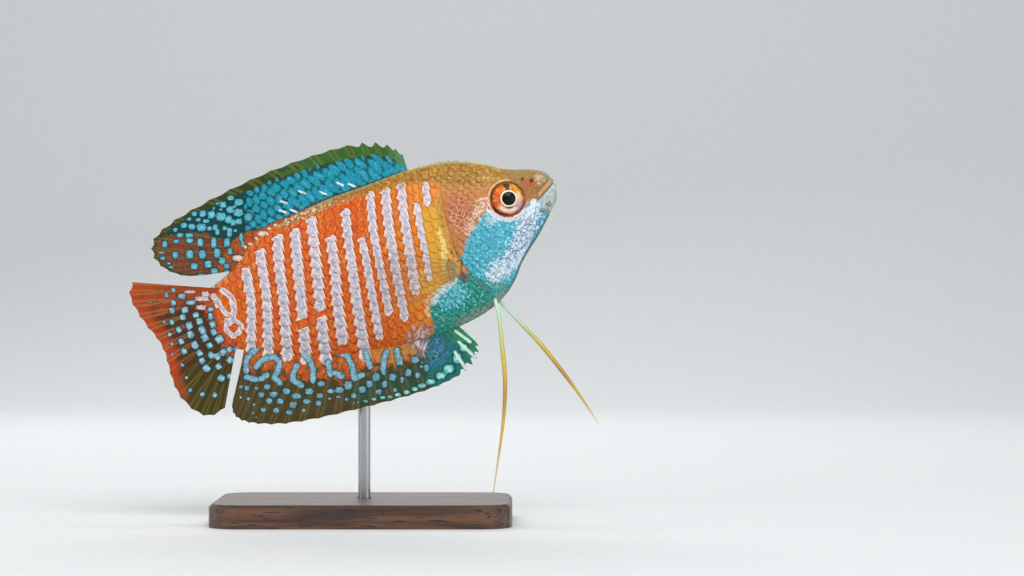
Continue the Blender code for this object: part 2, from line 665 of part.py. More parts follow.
def stand(pose):
    """A flat wooden base and one steel rod, which passes beside the anal fin and meets the left flank."""
    plate = rounded_box("stand_base", BASE_LENGTH, BASE_WIDTH, 0.0, BASE_HEIGHT, BASE_CORNER, BASE_CHAMFER)
    base = new_object("stand_base", plate, (0.10, 0.06, 0.04), 0.45)
    floor_of_socket = BASE_HEIGHT - SOCKET_DEPTH
    bore_radius = ROD_RADIUS + 1.15 * GAP
    bore = cylinder("socket_cutter", bore_radius, floor_of_socket, BASE_HEIGHT + 2, ROD_X, ROD_Y, 16)
    socket = helper(new_object("socket_cutter", bore))
    apply_boolean(base, "DIFFERENCE", socket)
    bpy.data.objects.remove(socket)
    bar = cylinder("stand_rod", ROD_RADIUS, floor_of_socket + GAP, ROD_TOP, ROD_X, ROD_Y, 16)
    rod = new_object("stand_rod", bar, (0.62, 0.63, 0.65), 0.3, 1.0)
    lines = [lambda h, s=s: s for s in np.linspace(GILL_S + 4, STALK_S - 2, 24)]
    flank = helper(new_object("flank_cutter", loft("flank_cutter", lines, 60, swell=1.6 * GAP), parent=pose))
    bpy.context.view_layer.update()
    apply_boolean(rod, "DIFFERENCE", flank)
    bpy.data.objects.remove(flank)
    keep_largest(rod)


def main():
    for obj in list(bpy.data.objects):
        bpy.data.objects.remove(obj)
    pose = bpy.data.objects.new("fish_pose", None)
    bpy.context.scene.collection.objects.link(pose)
    pose.location = Vector((SNOUT_X, 0.0, SNOUT_Z)) * MM
    pose.rotation_euler.y = -math.radians(HEAD_UP_DEG)
    bpy.context.view_layer.update()

    head, _, _ = body_pieces(pose)
    finish_head(head, pose)
    for side, name in ((1, "eye_left"), (-1, "eye_right")):
        eye = eye_shape(name, side, EYE_RADIUS, EYE_DEPTH, pose)
        material = bpy.data.materials.new(name)
        material.use_nodes = True
        shader = material.node_tree.nodes["Principled BSDF"]
        shader.inputs["Base Color"].default_value = (0.55, 0.22, 0.06, 1.0)
        shader.inputs["Roughness"].default_value = 0.08
        eye.data.materials.append(material)
    upright_fins(pose)
    pectoral_fins(pose)
    feelers(pose)
    stand(pose)
    bpy.context.view_layer.update()


main()
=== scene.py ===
# %% [markdown]
# # A dwarf gourami for a museum shelf
# The solids that carry this fish are already made and stay as they are. This lesson dresses them: skin,
# scales, eyes, fins and feelers are built as fine meshes in the same place and at the same size, and each
# surface gets a finish of its own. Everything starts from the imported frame.

# %% Load the frame
import functools
import math

import bpy
import numpy as np
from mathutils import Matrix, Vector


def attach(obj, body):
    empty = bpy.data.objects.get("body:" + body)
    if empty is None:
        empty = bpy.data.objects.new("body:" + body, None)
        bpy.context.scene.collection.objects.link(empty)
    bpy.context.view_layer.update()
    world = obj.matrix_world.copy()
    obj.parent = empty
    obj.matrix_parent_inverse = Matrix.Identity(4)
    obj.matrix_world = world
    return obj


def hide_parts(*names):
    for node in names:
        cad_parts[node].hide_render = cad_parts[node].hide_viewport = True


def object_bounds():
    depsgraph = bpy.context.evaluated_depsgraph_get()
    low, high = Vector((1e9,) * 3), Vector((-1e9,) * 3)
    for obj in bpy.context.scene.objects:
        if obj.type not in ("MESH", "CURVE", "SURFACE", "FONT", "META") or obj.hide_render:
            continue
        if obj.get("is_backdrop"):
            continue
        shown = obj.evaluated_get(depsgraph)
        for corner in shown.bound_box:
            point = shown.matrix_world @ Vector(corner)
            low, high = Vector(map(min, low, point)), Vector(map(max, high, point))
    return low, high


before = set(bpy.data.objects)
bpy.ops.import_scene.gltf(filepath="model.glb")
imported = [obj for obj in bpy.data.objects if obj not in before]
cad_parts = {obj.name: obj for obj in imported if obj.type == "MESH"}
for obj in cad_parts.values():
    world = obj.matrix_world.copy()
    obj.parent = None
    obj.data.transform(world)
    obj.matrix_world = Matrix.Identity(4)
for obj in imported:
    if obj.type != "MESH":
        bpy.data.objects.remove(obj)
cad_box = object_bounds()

print("nodes to dress:", sorted(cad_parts))

# %% [markdown]
# ## One frame for the fish
# A fish is measured from its snout: s runs back along the body, h up from its axis, w out to its left. The
# fish hangs nose up on its stand, so one function turns those millimetres into metres of the room. Working
# in the animal's own sizes keeps every number below one that could be taken with a ruler.

# %% The fish's own frame
MM = 0.001
HEAD_UP = math.radians(21.0)
SNOUT_X, SNOUT_Z = 37.7, 64.7


def in_room(points):
    """Rows of s, h and w in millimetres, as metres in the room."""
    s, h, w = np.asarray(points, float).T
    ahead, up = math.cos(HEAD_UP), math.sin(HEAD_UP)
    return np.column_stack([SNOUT_X - s * ahead - h * up, w, SNOUT_Z - s * up + h * ahead]) * MM


def smooth(points, root=False):
    """A smooth curve through points (x, y). With root it follows the square root of x, for a round snout."""
    def warp(x):
        return np.sqrt(np.maximum(x, 0.0)) if root else np.asarray(x, float)

    xs, ys = warp(np.array([p[0] for p in points], float)), np.array([p[1] for p in points], float)
    steps = np.diff(xs)
    secants = np.diff(ys) / steps
    inner = (secants[:-1] * steps[1:] + secants[1:] * steps[:-1]) / (steps[1:] + steps[:-1])
    slopes = np.concatenate([secants[:1], inner, secants[-1:]])

    def value(x):
        x = np.clip(warp(x), xs[0], xs[-1])
        i = np.clip(np.searchsorted(xs, x) - 1, 0, len(xs) - 2)
        u = (x - xs[i]) / steps[i]
        rise = (3 - 2 * u) * u * u
        lean_in, lean_out = u * (1 - u) ** 2, u * u * (u - 1)
        lean = slopes[i] * lean_in + slopes[i + 1] * lean_out
        return ys[i] + (ys[i + 1] - ys[i]) * rise + steps[i] * lean

    return value


def step(x, low, high):
    """0 below low, 1 above high, and smooth between."""
    u = np.clip((np.asarray(x, float) - low) / (high - low), 0, 1)
    return u * u * (3 - 2 * u)


def window(x, low, high, soft):
    """1 between low and high, falling smoothly to 0 over the width soft outside them."""
    return step(x, low - soft, low) * (1 - step(x, high, high + soft))


print("snout tip in the room:", np.round(in_room([(0, 1.0, 0)])[0], 4))

# %% [markdown]
# ## Camera, light and floor
# The fish is seen square from its right side, as in a plate of a field guide. A long lens keeps the far fins
# from shrinking. The light is what a photographer would use for a lacquered model: one broad soft lamp above
# the camera, two weaker ones beside it, a strip behind to edge the fins, and one lamp on the paper sweep.

# %% Camera, light and floor
EYE_LINE = (0.02893, -0.555, 0.04559)
LENS, SENSOR = 100, 36  # millimetres

lens = bpy.data.cameras.new("camera")
lens.lens, lens.sensor_width = LENS, SENSOR
lens.clip_start, lens.clip_end = 0.01, 10
camera = bpy.data.objects.new("camera", lens)
camera.location = EYE_LINE
camera.rotation_euler = (math.pi / 2, 0, 0)
bpy.context.scene.collection.objects.link(camera)
bpy.context.scene.camera = camera
bpy.context.scene.view_settings.view_transform = "Standard"

FISH, PAPER = (0.0, 0.0, 0.045), (0.0, 0.85, 0.20)
LAMPS = [("key", (0.10, -0.42, 0.52), FISH, (0.45, 0.35), 2.75),
         ("fill", (0.45, -0.35, 0.12), FISH, (0.35, 0.35), 0.6),
         ("far_fill", (-0.40, -0.30, 0.18), FISH, (0.30, 0.30), 0.55),
         ("rim", (-0.10, 0.45, 0.40), FISH, (0.50, 0.20), 1.2),
         ("paper_lamp", (0.0, 0.20, 0.80), PAPER, (1.0, 0.3), 2.6)]
for name, place, target, size, power in LAMPS:
    lamp = bpy.data.lights.new(name, "AREA")
    lamp.shape, lamp.size, lamp.size_y, lamp.energy = "RECTANGLE", *size, power
    holder = bpy.data.objects.new(name, lamp)
    holder.location = place
    aim = np.array(target) - np.array(place)
    holder.rotation_euler = (math.acos(-aim[2] / np.linalg.norm(aim)), 0, math.atan2(-aim[0], aim[1]))
    bpy.context.scene.collection.objects.link(holder)

sky = bpy.data.worlds.new("soft_room")
sky.use_nodes = True
glow = sky.node_tree.nodes["Background"].inputs
glow["Color"].default_value = (0.88, 0.91, 0.95, 1)
glow["Strength"].default_value = 0.29
bpy.context.scene.world = sky
print("camera sees", round(-EYE_LINE[1] / MM * SENSOR / LENS, 1), "mm across at the fish")

# %% [markdown]
# ## Colours and nodes
# Colours are given as sRGB hex and must be made linear before a shader can add light to them. One
# helper adds any node with its options, values and links, so a finish reads as a list of what it does.

# %% Colour and node helpers
def ink(code):
    """An sRGB hex colour as linear red, green, blue and alpha."""
    parts = [int(code[i:i + 2], 16) / 255 for i in (1, 3, 5)]
    return (*[p / 12.92 if p <= 0.04045 else ((p + 0.055) / 1.055) ** 2.4 for p in parts], 1.0)


def plug(made, sockets):
    """Gives a node's inputs their values, or the outputs that feed them."""
    for key, value in sockets.items():
        if isinstance(value, bpy.types.NodeSocket):
            made.id_data.links.new(value, made.inputs[key])
        else:
            made.inputs[key].default_value = value


def node(tree, kind, sockets=None, out=0, **options):
    """Adds a node with its options and inputs, and gives one of its outputs."""
    made = tree.nodes.new("ShaderNode" + kind)
    for option, value in options.items():
        setattr(made, option, value)
    plug(made, sockets or {})
    return made.outputs[out]


def new_finish(name):
    """An empty material, its shader, and the helper that adds nodes to it."""
    material = bpy.data.materials.new(name)
    material.use_nodes = True
    return material, material.node_tree.nodes["Principled BSDF"], functools.partial(node, material.node_tree)


print("a linear mid grey:", np.round(ink("#808080"), 3))

# %% [markdown]
# ## Pieces from numbers
# Every piece is a list of points and faces worked out with arrays, which is quicker than building with
# operators when a fish has a thousand scales. Marks are values stored on the points, such as how near a point
# is to a pale bar. The finishes read them, so a marking stays on the fish from every side.

# %% Making a piece
def make_piece(name, points, faces, marks, material, slot, *nodes, patches=None):
    """A mesh in the room from points in the fish's frame. patches gives the scales their own map."""
    mesh = bpy.data.meshes.new(name)
    mesh.from_pydata(in_room(points).tolist(), [], faces)
    for mark, values in marks.items():
        values = np.asarray(values, np.float32)
        kind = "FLOAT" if values.ndim == 1 else "FLOAT_VECTOR"
        layer = mesh.attributes.new(mark, kind, "POINT")
        layer.data.foreach_set("value" if values.ndim == 1 else "vector", values.ravel())
    if patches is not None:
        corner_points = np.empty(len(mesh.loops), int)
        mesh.loops.foreach_get("vertex_index", corner_points)
        mesh.uv_layers.new(name="OFBake").data.foreach_set("uv", patches[corner_points].ravel())
    mesh.materials.append(material)
    mesh.shade_smooth()
    mesh.validate()
    piece = bpy.data.objects.new(name, mesh)
    bpy.context.scene.collection.objects.link(piece)
    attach(piece, "root")
    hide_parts(*nodes)
    print(f"{name}: {len(mesh.vertices)} points, {sum(len(p.vertices) - 2 for p in mesh.polygons)} triangles")
    return piece


def sheet_faces(rows, columns, first=0, turn=False):
    """The faces of a grid of points, row by row."""
    r, c = np.meshgrid(np.arange(rows - 1), np.arange(columns - 1), indexing="ij")
    a = (first + r * columns + c).ravel()
    quads = np.column_stack([a, a + 1, a + columns + 1, a + columns])
    return quads[:, ::-1] if turn else quads


def slab_faces(rows, columns, turn=False):
    """The faces of a thin closed plate: two grids, one after the other, and the wall round their rims."""
    count = rows * columns
    grid = np.arange(count).reshape(rows, columns)
    rim = np.concatenate([grid[0, :-1], grid[:-1, -1], grid[-1, :0:-1], grid[:0:-1, 0]])
    after = np.roll(rim, -1)
    wall = np.column_stack([rim, rim + count, after + count, after])
    return np.concatenate([sheet_faces(rows, columns, 0, turn), sheet_faces(rows, columns, count, not turn),
                           wall[:, ::-1] if turn else wall])


def tube_faces(rings, around, turn=False):
    """The faces between closed rings of points, one ring after the other."""
    r, c = np.meshgrid(np.arange(rings - 1), np.arange(around), indexing="ij")
    a, b = (r * around + c).ravel(), (r * around + (c + 1) % around).ravel()
    quads = np.column_stack([a, a + around, b + around, b])
    return quads[:, [0, 3, 2, 1]] if turn else quads


SIDES = ((1, "left"), (-1, "right"))

# %% [markdown]
# ## The body under the skin
# The body is a row of sections. Each is a superellipse between the outline of the back and that of the belly,
# with its widest line near the middle. The same curves made the solids, so the skin lies exactly in them.

# %% The body's shape
BODY_LENGTH = 69.3
BACK = [
    (0, 1.0), (0.9, 4.0), (2.1, 5.0), (4.4, 6.1), (8.0, 7.6), (12.1, 10.4), (17.3, 12.9), (24.0, 14.2),
    (34.0, 14.4), (44.0, 14.5), (51.0, 13.9), (56.0, 13.0), (60.0, 11.5), (63.5, 9.2), (66.5, 7.6),
    (69.3, 6.6)]
BELLY = [
    (0, 1.0), (0.8, -1.8), (2.6, -3.5), (6.3, -6.8), (11.4, -10.8), (15.9, -15.2), (18.6, -16.6),
    (22.9, -17.7), (28.0, -18.2), (35.6, -18.1), (43.5, -16.9), (51.2, -15.2), (58.5, -12.6), (65.5, -8.9),
    (69.3, -6.8)]
HALF_WIDTH = [
    (0, 0.0), (0.9, 1.7), (2.5, 2.5), (5.0, 3.2), (9.0, 4.1), (14.0, 5.0), (20.0, 5.6), (28.0, 6.0),
    (36.0, 5.8), (45.0, 4.9), (54.0, 3.6), (62.0, 2.2), (69.3, 0.9)]
WIDEST_AT = [(0, 1.0), (10.0, 0.4), (20.0, -0.6), (35.0, 0.2), (55.0, 0.8), (69.3, 0.0)]
FULL_ABOVE = [(0, 2.1), (10.0, 2.0), (24.0, 1.85), (45.0, 1.7), (69.3, 1.8)]
FULL_BELOW = [(0, 2.1), (10.0, 1.8), (20.0, 1.7), (30.0, 1.6), (50.0, 1.5), (69.3, 1.8)]
TAIL_ROUND = 1.6  # the stalk ends in a round edge this long, over the root of the tail fin

back, belly, half_width = (smooth(line, root=True) for line in (BACK, BELLY, HALF_WIDTH))
widest_at, full_above, full_below = (smooth(line) for line in (WIDEST_AT, FULL_ABOVE, FULL_BELOW))

STATIONS = np.concatenate([np.geomspace(0.01, 1.0, 24), np.arange(1.2, BODY_LENGTH, 0.2),
                           BODY_LENGTH + TAIL_ROUND * np.sin(np.linspace(0, math.pi / 2, 8))])
SHARES = np.linspace(-1, 1, 241)  # -1 on the belly's ridge, 0 on the widest line, 1 on the back's ridge
print("body", BODY_LENGTH, "mm long, in", len(STATIONS), "sections")

# %% [markdown]
# ## A table of the surface
# Skin and scales both need places on the body and the way straight out of it. To work a section out for each
# place would be slow. So it is done once, for a table of sections, and any place is read between its entries.
# The shares of a section are even steps round it, so that the rows of scales keep their height.

# %% The surface as a table
def body_table():
    """Points, normals and the girth above and below the widest line, for each station and share."""
    turn = np.linspace(0, math.pi / 2, 400)
    rise, spread = np.sin(turn), np.cos(turn)
    table = np.zeros((len(STATIONS), len(SHARES), 3))
    girth = np.zeros((len(STATIONS), 2))
    for i, s in enumerate(STATIONS):
        past = max(s - BODY_LENGTH, 0) / TAIL_ROUND
        width = half_width(s) * math.sqrt(max(1 - 0.93 * past ** 2, 0))
        for above, reach, power in ((1, back(s) - widest_at(s), full_above(s)),
                                    (0, widest_at(s) - belly(s), full_below(s))):
            h, w = reach * rise ** (2 / power), width * spread ** (2 / power)
            run = np.concatenate([[0], np.cumsum(np.hypot(np.diff(h), np.diff(w)))])
            part = SHARES >= 0 if above else SHARES <= 0
            even = np.abs(SHARES[part]) * run[-1]
            table[i, part, 1] = widest_at(s) + np.interp(even, run, h) * (1 if above else -1)
            table[i, part, 2] = np.interp(even, run, w)
            girth[i, above] = run[-1]
        table[i, :, 0] = s
    along = np.gradient(table, STATIONS, axis=0)
    round_it = np.gradient(table, SHARES, axis=1)
    normals = np.cross(along, round_it)
    normals /= np.linalg.norm(normals, axis=2, keepdims=True) + 1e-12
    normals *= np.sign((normals * [0, 0, 1]).sum(axis=(0, 1)).sum())
    normals[:, [0, -1], 2] = 0
    return table, normals, girth


BODY, NORMALS, GIRTH = body_table()


def read(table, s, share):
    """A value of the table at any station and share."""
    i = np.interp(s, STATIONS, np.arange(len(STATIONS)))
    k = (np.clip(share, -1, 1) + 1) / 2 * (len(SHARES) - 1)
    i0 = np.minimum(i.astype(int), len(STATIONS) - 2)
    k0 = np.minimum(k.astype(int), len(SHARES) - 2)
    u, v = (i - i0)[..., None], (k - k0)[..., None]
    return ((table[i0, k0] * (1 - v) + table[i0, k0 + 1] * v) * (1 - u)
            + (table[i0 + 1, k0] * (1 - v) + table[i0 + 1, k0 + 1] * v) * u)


def girth_at(s):
    """How far it is round the section from the widest line, down to the belly and up to the back."""
    return [np.interp(s, STATIONS, GIRTH[:, side]) for side in (0, 1)]


def share_at(s, round_up):
    """The share of the way to a ridge, round_up millimetres round the section from the widest line."""
    below, above = girth_at(s)
    return np.where(round_up >= 0, round_up / above, round_up / below)


print("deepest section:", round(float((back(STATIONS) - belly(STATIONS)).max()), 1), "mm,",
      "girth there", round(float(2 * GIRTH.sum(axis=1).max()), 1), "mm")

# %% [markdown]
# ## Coats of paint
# On the real fish the colour is pigment under clear skin, and on a museum cast it is many thin coats of
# paint under lacquer. The finishes are built the same way: a ground colour, then coat after coat. Each coat
# follows one mark on the mesh, and a mottle makes its edge ragged or breaks it up into specks.

# %% Mottles of the paint
ROW = 2.05  # the height of a row of scales
SAW_SLOPE = 2.0  # the bars' teeth point down and forward, this steep
BAR_LEAN = -0.26  # a bar leans back by this much for each millimetre down
NOISE_LOW, NOISE_HIGH = 0.32, 0.68  # nearly all of a noise lies between these two


def lay(add, under, tint, share):
    """One coat of colour over another."""
    return add("Mix", {0: share, 6: under, 7: tint}, out=2, data_type="RGBA")


def mottles(add):
    """Mottles from -0.5 to 0.5: clouds, grains and dust, strokes, wandering lines, a net, and saw teeth."""
    place = add("Attribute", out="Vector", attribute_name="place")
    turned = add("Mapping", {"Vector": place, "Rotation": (0, 0, math.radians(50))})
    drawn = add("Mapping", {"Vector": turned, "Scale": (0.45, 1.7, 1.0)})
    found = {}
    for name, where, scale, detail in (("cloud", place, 0.8, 3.0), ("grain", place, 1.9, 3.0),
                                       ("dust", place, 4.0, 2.0), ("strokes", drawn, 1.5, 2.0)):
        noise = add("TexNoise", {"Vector": where, "Scale": scale, "Detail": detail})
        found[name] = add("MapRange", {0: noise, 1: NOISE_LOW, 2: NOISE_HIGH, 3: -0.5, 4: 0.5})
    swirl = add("TexNoise", {"Vector": place, "Scale": 0.85, "Detail": 1.5, "Distortion": 1.0})
    off = add("Math", {0: swirl, 1: 0.5}, operation="SUBTRACT")
    off = add("Math", {0: off}, operation="ABSOLUTE")
    found["lines"] = add("MapRange", {0: off, 1: 0.055, 2: 0.0, 3: -0.5, 4: 0.5})
    mesh_gap = add("TexVoronoi", {"Vector": place, "Scale": 1.0}, feature="DISTANCE_TO_EDGE")
    found["net"] = add("MapRange", {0: mesh_gap, 1: 0.16, 2: 0.0, 3: -0.5, 4: 0.5})
    pitch = ROW * (1 - SAW_SLOPE * BAR_LEAN)
    climb = (-SAW_SLOPE / pitch, 1 / pitch, 0)
    rows = add("VectorMath", {0: place, 1: climb}, out=1, operation="DOT_PRODUCT")
    saw = add("Math", {0: 0.5, 1: add("Math", {0: rows}, operation="FRACT")}, operation="SUBTRACT")
    found["teeth"] = add("Math", {0: found["dust"], 1: 0.35, 2: saw}, operation="MULTIPLY_ADD")
    return found


print("one tooth of a bar to each row of scales,", ROW, "mm apart")

# %% [markdown]
# ## Paint under lacquer
# The lacquer is satin, so a highlight is soft and the colours stay deep. Its typical IOR is 1.45. Below it
# the paint has a fine tooth from the brush, which the bump gives.

# %% Coats and lacquer
def lay_coats(add, colour, coats, grains):
    """Lays coats over a colour. A coat is (mark, tint, start, full, ragged, mottle, depth).

    It starts to show where its mark, made ragged by a mottle, passes start, and is at its depth past full."""
    for name, tint, start, full, ragged, grain, depth in coats:
        value = add("Attribute", out="Fac", attribute_name=name)
        value = add("Math", {0: grains[grain], 1: ragged, 2: value}, operation="MULTIPLY_ADD")
        share = add("MapRange", {0: value, 1: start, 2: full, 4: depth}, interpolation_type="SMOOTHSTEP")
        colour = lay(add, colour, ink(tint), share)
    return colour


def lacquered(name, ground, coats):
    """A finish of coats under clear lacquer. A fine grain makes it a tenth lighter and darker."""
    material, shader, add = new_finish(name)
    grains = mottles(add)
    colour = lay_coats(add, ink(ground), coats, grains)
    tone = add("MapRange", {0: grains["grain"], 1: -0.5, 2: 0.5, 3: 0.90, 4: 1.10})
    tone = add("CombineColor", {0: tone, 1: tone, 2: tone})
    colour = add("Mix", {0: 1.0, 6: colour, 7: tone}, out=2, data_type="RGBA", blend_type="MULTIPLY")
    tooth = add("Bump", {"Height": grains["grain"], "Distance": 0.02 * MM, "Strength": 0.5})
    plug(shader, {"Base Color": colour, "Normal": tooth, "Roughness": 0.5, "IOR": 1.45,
                  "Specular IOR Level": 0.15, "Coat Weight": 0.16, "Coat Roughness": 0.18})
    return material


print("paint and lacquer ready, with mottles from", NOISE_LOW, "to", NOISE_HIGH, "of each noise")

# %% [markdown]
# ## Relief of the head
# A fish's head is bone under tight skin: the gill cover ends in a raised rim, the eye sits in a round socket
# with a soft edge, the lips are two small rolls, and each nostril is a pit. They could be separate shapes
# joined on. Here they are heights added along the surface's normals, so that one skin runs through them all.

# %% Places on the head
GILL_S, GILL_H = 22.6, -3.0
COVER_LIFT = 0.30
EYE_S, EYE_H = 9.7, 1.7
EYE_RADIUS = 3.3
ORBIT_LINE = 3.72  # the socket's edge, from the eye's centre
MOUTH_FRONT, MOUTH_CORNER = (-0.6, 1.95), (4.3, -0.65)
NOSTRILS = [(4.0, 3.4, 0.40), (5.6, 4.3, 0.32)]
GROOVES = [  # depth, half width and line of the grooves of cheek, jaw and throat
    (0.12, 0.26, [(13.6, 1.2), (15.4, -1.5), (16.6, -5.0), (16.2, -8.4), (13.2, -9.9), (8.6, -7.4)]),
    (0.14, 0.24, [(4.4, -0.9), (5.2, -2.6), (6.6, -4.6), (8.0, -6.6)]),
    (0.15, 0.28, [(3.2, -3.0), (6.4, -5.6), (10.6, -8.9), (14.6, -12.3), (18.4, -14.6), (21.4, -13.6)])]
COAT = 0.14  # the scales' depth
FIN_SEAT = (24.3, -7.3)  # the fleshy root of the pectoral fin


def gill_edge(h):
    """The s of the gill opening at height h."""
    above = h > GILL_H
    return GILL_S - np.where(above, 3.0, 4.5) * ((h - GILL_H) / np.where(above, 16.0, 12.5)) ** 2


def from_line(s, h, line):
    """How far each place lies from a line of points."""
    nearest = np.full(np.shape(s), 1e9)
    for (s0, h0), (s1, h1) in zip(line, line[1:]):
        length = (s1 - s0) ** 2 + (h1 - h0) ** 2
        u = np.clip(((s - s0) * (s1 - s0) + (h - h0) * (h1 - h0)) / length, 0, 1)
        nearest = np.minimum(nearest, np.hypot(s - s0 - u * (s1 - s0), h - h0 - u * (h1 - h0)))
    return nearest


def bell(x, width):
    """A bump of height 1."""
    return np.exp(-(x / width) ** 2)


def oval(s, h, centre_s, centre_h, half_s, half_h, lean=0.0, soft=0.35):
    """1 inside a leaning ellipse, falling to 0 over the share soft round its edge. lean is in degrees."""
    c, d = math.cos(math.radians(lean)), math.sin(math.radians(lean))
    a, b = s - centre_s, h - centre_h
    far = np.hypot((a * c + b * d) / half_s, (-a * d + b * c) / half_h)
    return 1 - step(far, 1 - soft, 1 + soft)


def mouth_place(s, h):
    """How far back along the mouth a place lies, and how far above its line."""
    (s0, h0), (s1, h1) = MOUTH_FRONT, MOUTH_CORNER
    length = math.hypot(s1 - s0, h1 - h0)
    a, b = (s1 - s0) / length, (h1 - h0) / length
    return (s - s0) * a + (h - h0) * b, -(s - s0) * b + (h - h0) * a, length


print("eye", 2 * EYE_RADIUS, "mm across, in a socket", 2 * ORBIT_LINE, "mm across")

# %% [markdown]
# ## Heights of the relief
# Each form is a rise or a groove of a few tenths of a millimetre along the normal, and only the eye's socket
# is deeper. Under the scales the skin itself lies lower, which leaves them room within the solids' outline.

# %% The relief
def relief(s, h):
    """The height of the head's forms above the plain body."""
    edge = gill_edge(h)
    cover = window(s, edge - 5.5, edge, 4.0) * (1 - step(s, edge - 0.3, edge + 0.05))
    height = COVER_LIFT * cover * window(h, -11.5, 5.5, 4.0)
    height -= 0.10 * bell(s - edge - 0.35, 0.4) * window(h, -13, 5, 3.0)
    height += 0.45 * oval(s, h, *FIN_SEAT, 1.5, 2.0, 0, 0.5)
    from_eye = np.hypot(s - EYE_S, h - EYE_H)
    height += 0.20 * bell(from_eye - ORBIT_LINE, 0.30) - 1.5 * (1 - step(from_eye, 2.9, 3.5))
    height -= 0.10 * bell(from_eye - ORBIT_LINE - 0.85, 0.35)
    back_along, above, length = mouth_place(s, h)
    lips = 1 - step(back_along, length - 0.9, length + 0.1)
    height += 0.20 * lips * (bell(above - 0.50, 0.32) + bell(above + 0.50, 0.36))
    height -= 0.34 * (1 - step(back_along, length - 0.3, length + 0.4)) * bell(above, 0.14)
    height -= 0.12 * bell(above - 1.20, 0.26) * lips
    for nostril_s, nostril_h, radius in NOSTRILS:
        off = np.hypot(s - nostril_s, h - nostril_h)
        height += 0.14 * bell(off - radius - 0.12, 0.14) - 0.45 * (1 - step(off, radius * 0.5, radius))
    for depth, half, line in GROOVES:
        height -= depth * bell(from_line(s, h, line), half)
    return height


def coat_depth(s, h):
    """How deep the scales lie: none on the snout, the jaws and round the eye."""
    bare = np.maximum(1 - step(s, 11.0, 14.0), 1 - step(np.hypot(s - EYE_S, h - EYE_H), 4.6, 6.2))
    return COAT * (1 - bare)


def skin_place(s, share, side, lift=0.0):
    """Points on the skin, or lift millimetres over it, on the left side (1) or the right (-1)."""
    base, normal = read(BODY, s, share), read(NORMALS, s, share)
    height = relief(base[..., 0], base[..., 1]) - coat_depth(base[..., 0], base[..., 1]) + lift
    points = base + normal * np.asarray(height)[..., None]
    points[..., 2] = np.maximum(points[..., 2], 0.0) * side
    return points


print("skin lies", COAT, "mm inside the solids where scales cover it")

# %% [markdown]
# ## Where the colours lie
# A male in colour is orange with about a dozen pale upright bars, some 3 mm apart. Each bar widens down every
# scale and steps in at the next, so its edges are saws; the paint's mottle of teeth gives them that edge.
# Pale curls and dabs follow at the root of the tail. Each is a line or an oval, given one by one.

# %% Bars, curls and spots
BARS = [[(23.6, 10.5), (24.6, 6.0)],
        [(26.3, 7.4), (27.3, 2.2), (27.9, -2.5), (29.0, -7.8)],
        [(27.7, 12.4), (29.3, 6.5), (30.6, 0.4), (32.9, -9.3)],
        [(31.1, 12.2), (33.0, 5.0), (34.6, -2.4), (36.6, -13.3)],
        [(34.2, 12.7), (36.1, 6.0), (37.3, -0.7), (39.1, -11.1)],
        [(38.7, 4.9), (39.3, 0.2), (40.7, -6.3), (42.5, -14.9)],
        [(39.6, 11.2), (41.5, 4.0), (43.4, -4.2), (46.6, -17.8)],
        [(44.3, 7.3), (45.7, 0.8), (47.6, -4.7), (49.7, -13.2)],
        [(46.6, 12.2), (48.5, 4.0), (50.5, -3.0), (54.1, -15.5)],
        [(50.3, 11.2), (52.4, 3.8), (54.1, -2.2), (57.7, -14.0)],
        [(53.8, 11.3), (55.9, 5.2), (57.4, -1.5), (60.9, -12.3)],
        [(58.3, 9.9), (59.8, 2.1), (61.6, -3.4), (64.3, -10.3)],
        [(62.1, 7.6), (63.2, 1.3), (64.9, -3.0), (67.1, -8.2)]]
BAR_GAPS = {8: (-6.6, -5.6), 9: (-7.4, -5.8)}  # the two bars that break in the middle, and where
BAR_REACH = 0.285  # how much of the way to its neighbour a bar reaches
FIRST_GAP, LAST_GAP = 3.0, 3.4  # from the first bar and from the last to where a neighbour would be
NOWHERE = 3.0  # what a field counts far from every bar and spot
CURLS = [([(67.9, 5.1), (67.2, 4.1), (66.7, 3.2), (66.9, 1.1), (67.7, -0.3), (68.6, -1.2)], 0.62),
         ([(69.2, -0.6), (70.0, -2.4), (69.1, -4.0), (67.6, -3.7), (66.9, -2.5), (67.6, -1.4)], 0.45),
         ([(69.9, 4.7), (69.6, 3.5), (69.3, 1.9), (68.8, 0.4)], 0.5)]
BASE_SPOTS = [
    (60.7, 11.4, 0.35, 0.30), (59.6, 11.6, 0.48, 0.26), (58.1, 12.2, 0.30, 0.35), (56.6, 12.6, 1.0, 0.48),
    (55.0, 13.1, 0.35, 0.30), (53.7, 13.3, 0.39, 0.30), (51.5, 13.3, 0.30, 0.52), (62.9, 9.9, 0.9, 0.56)]
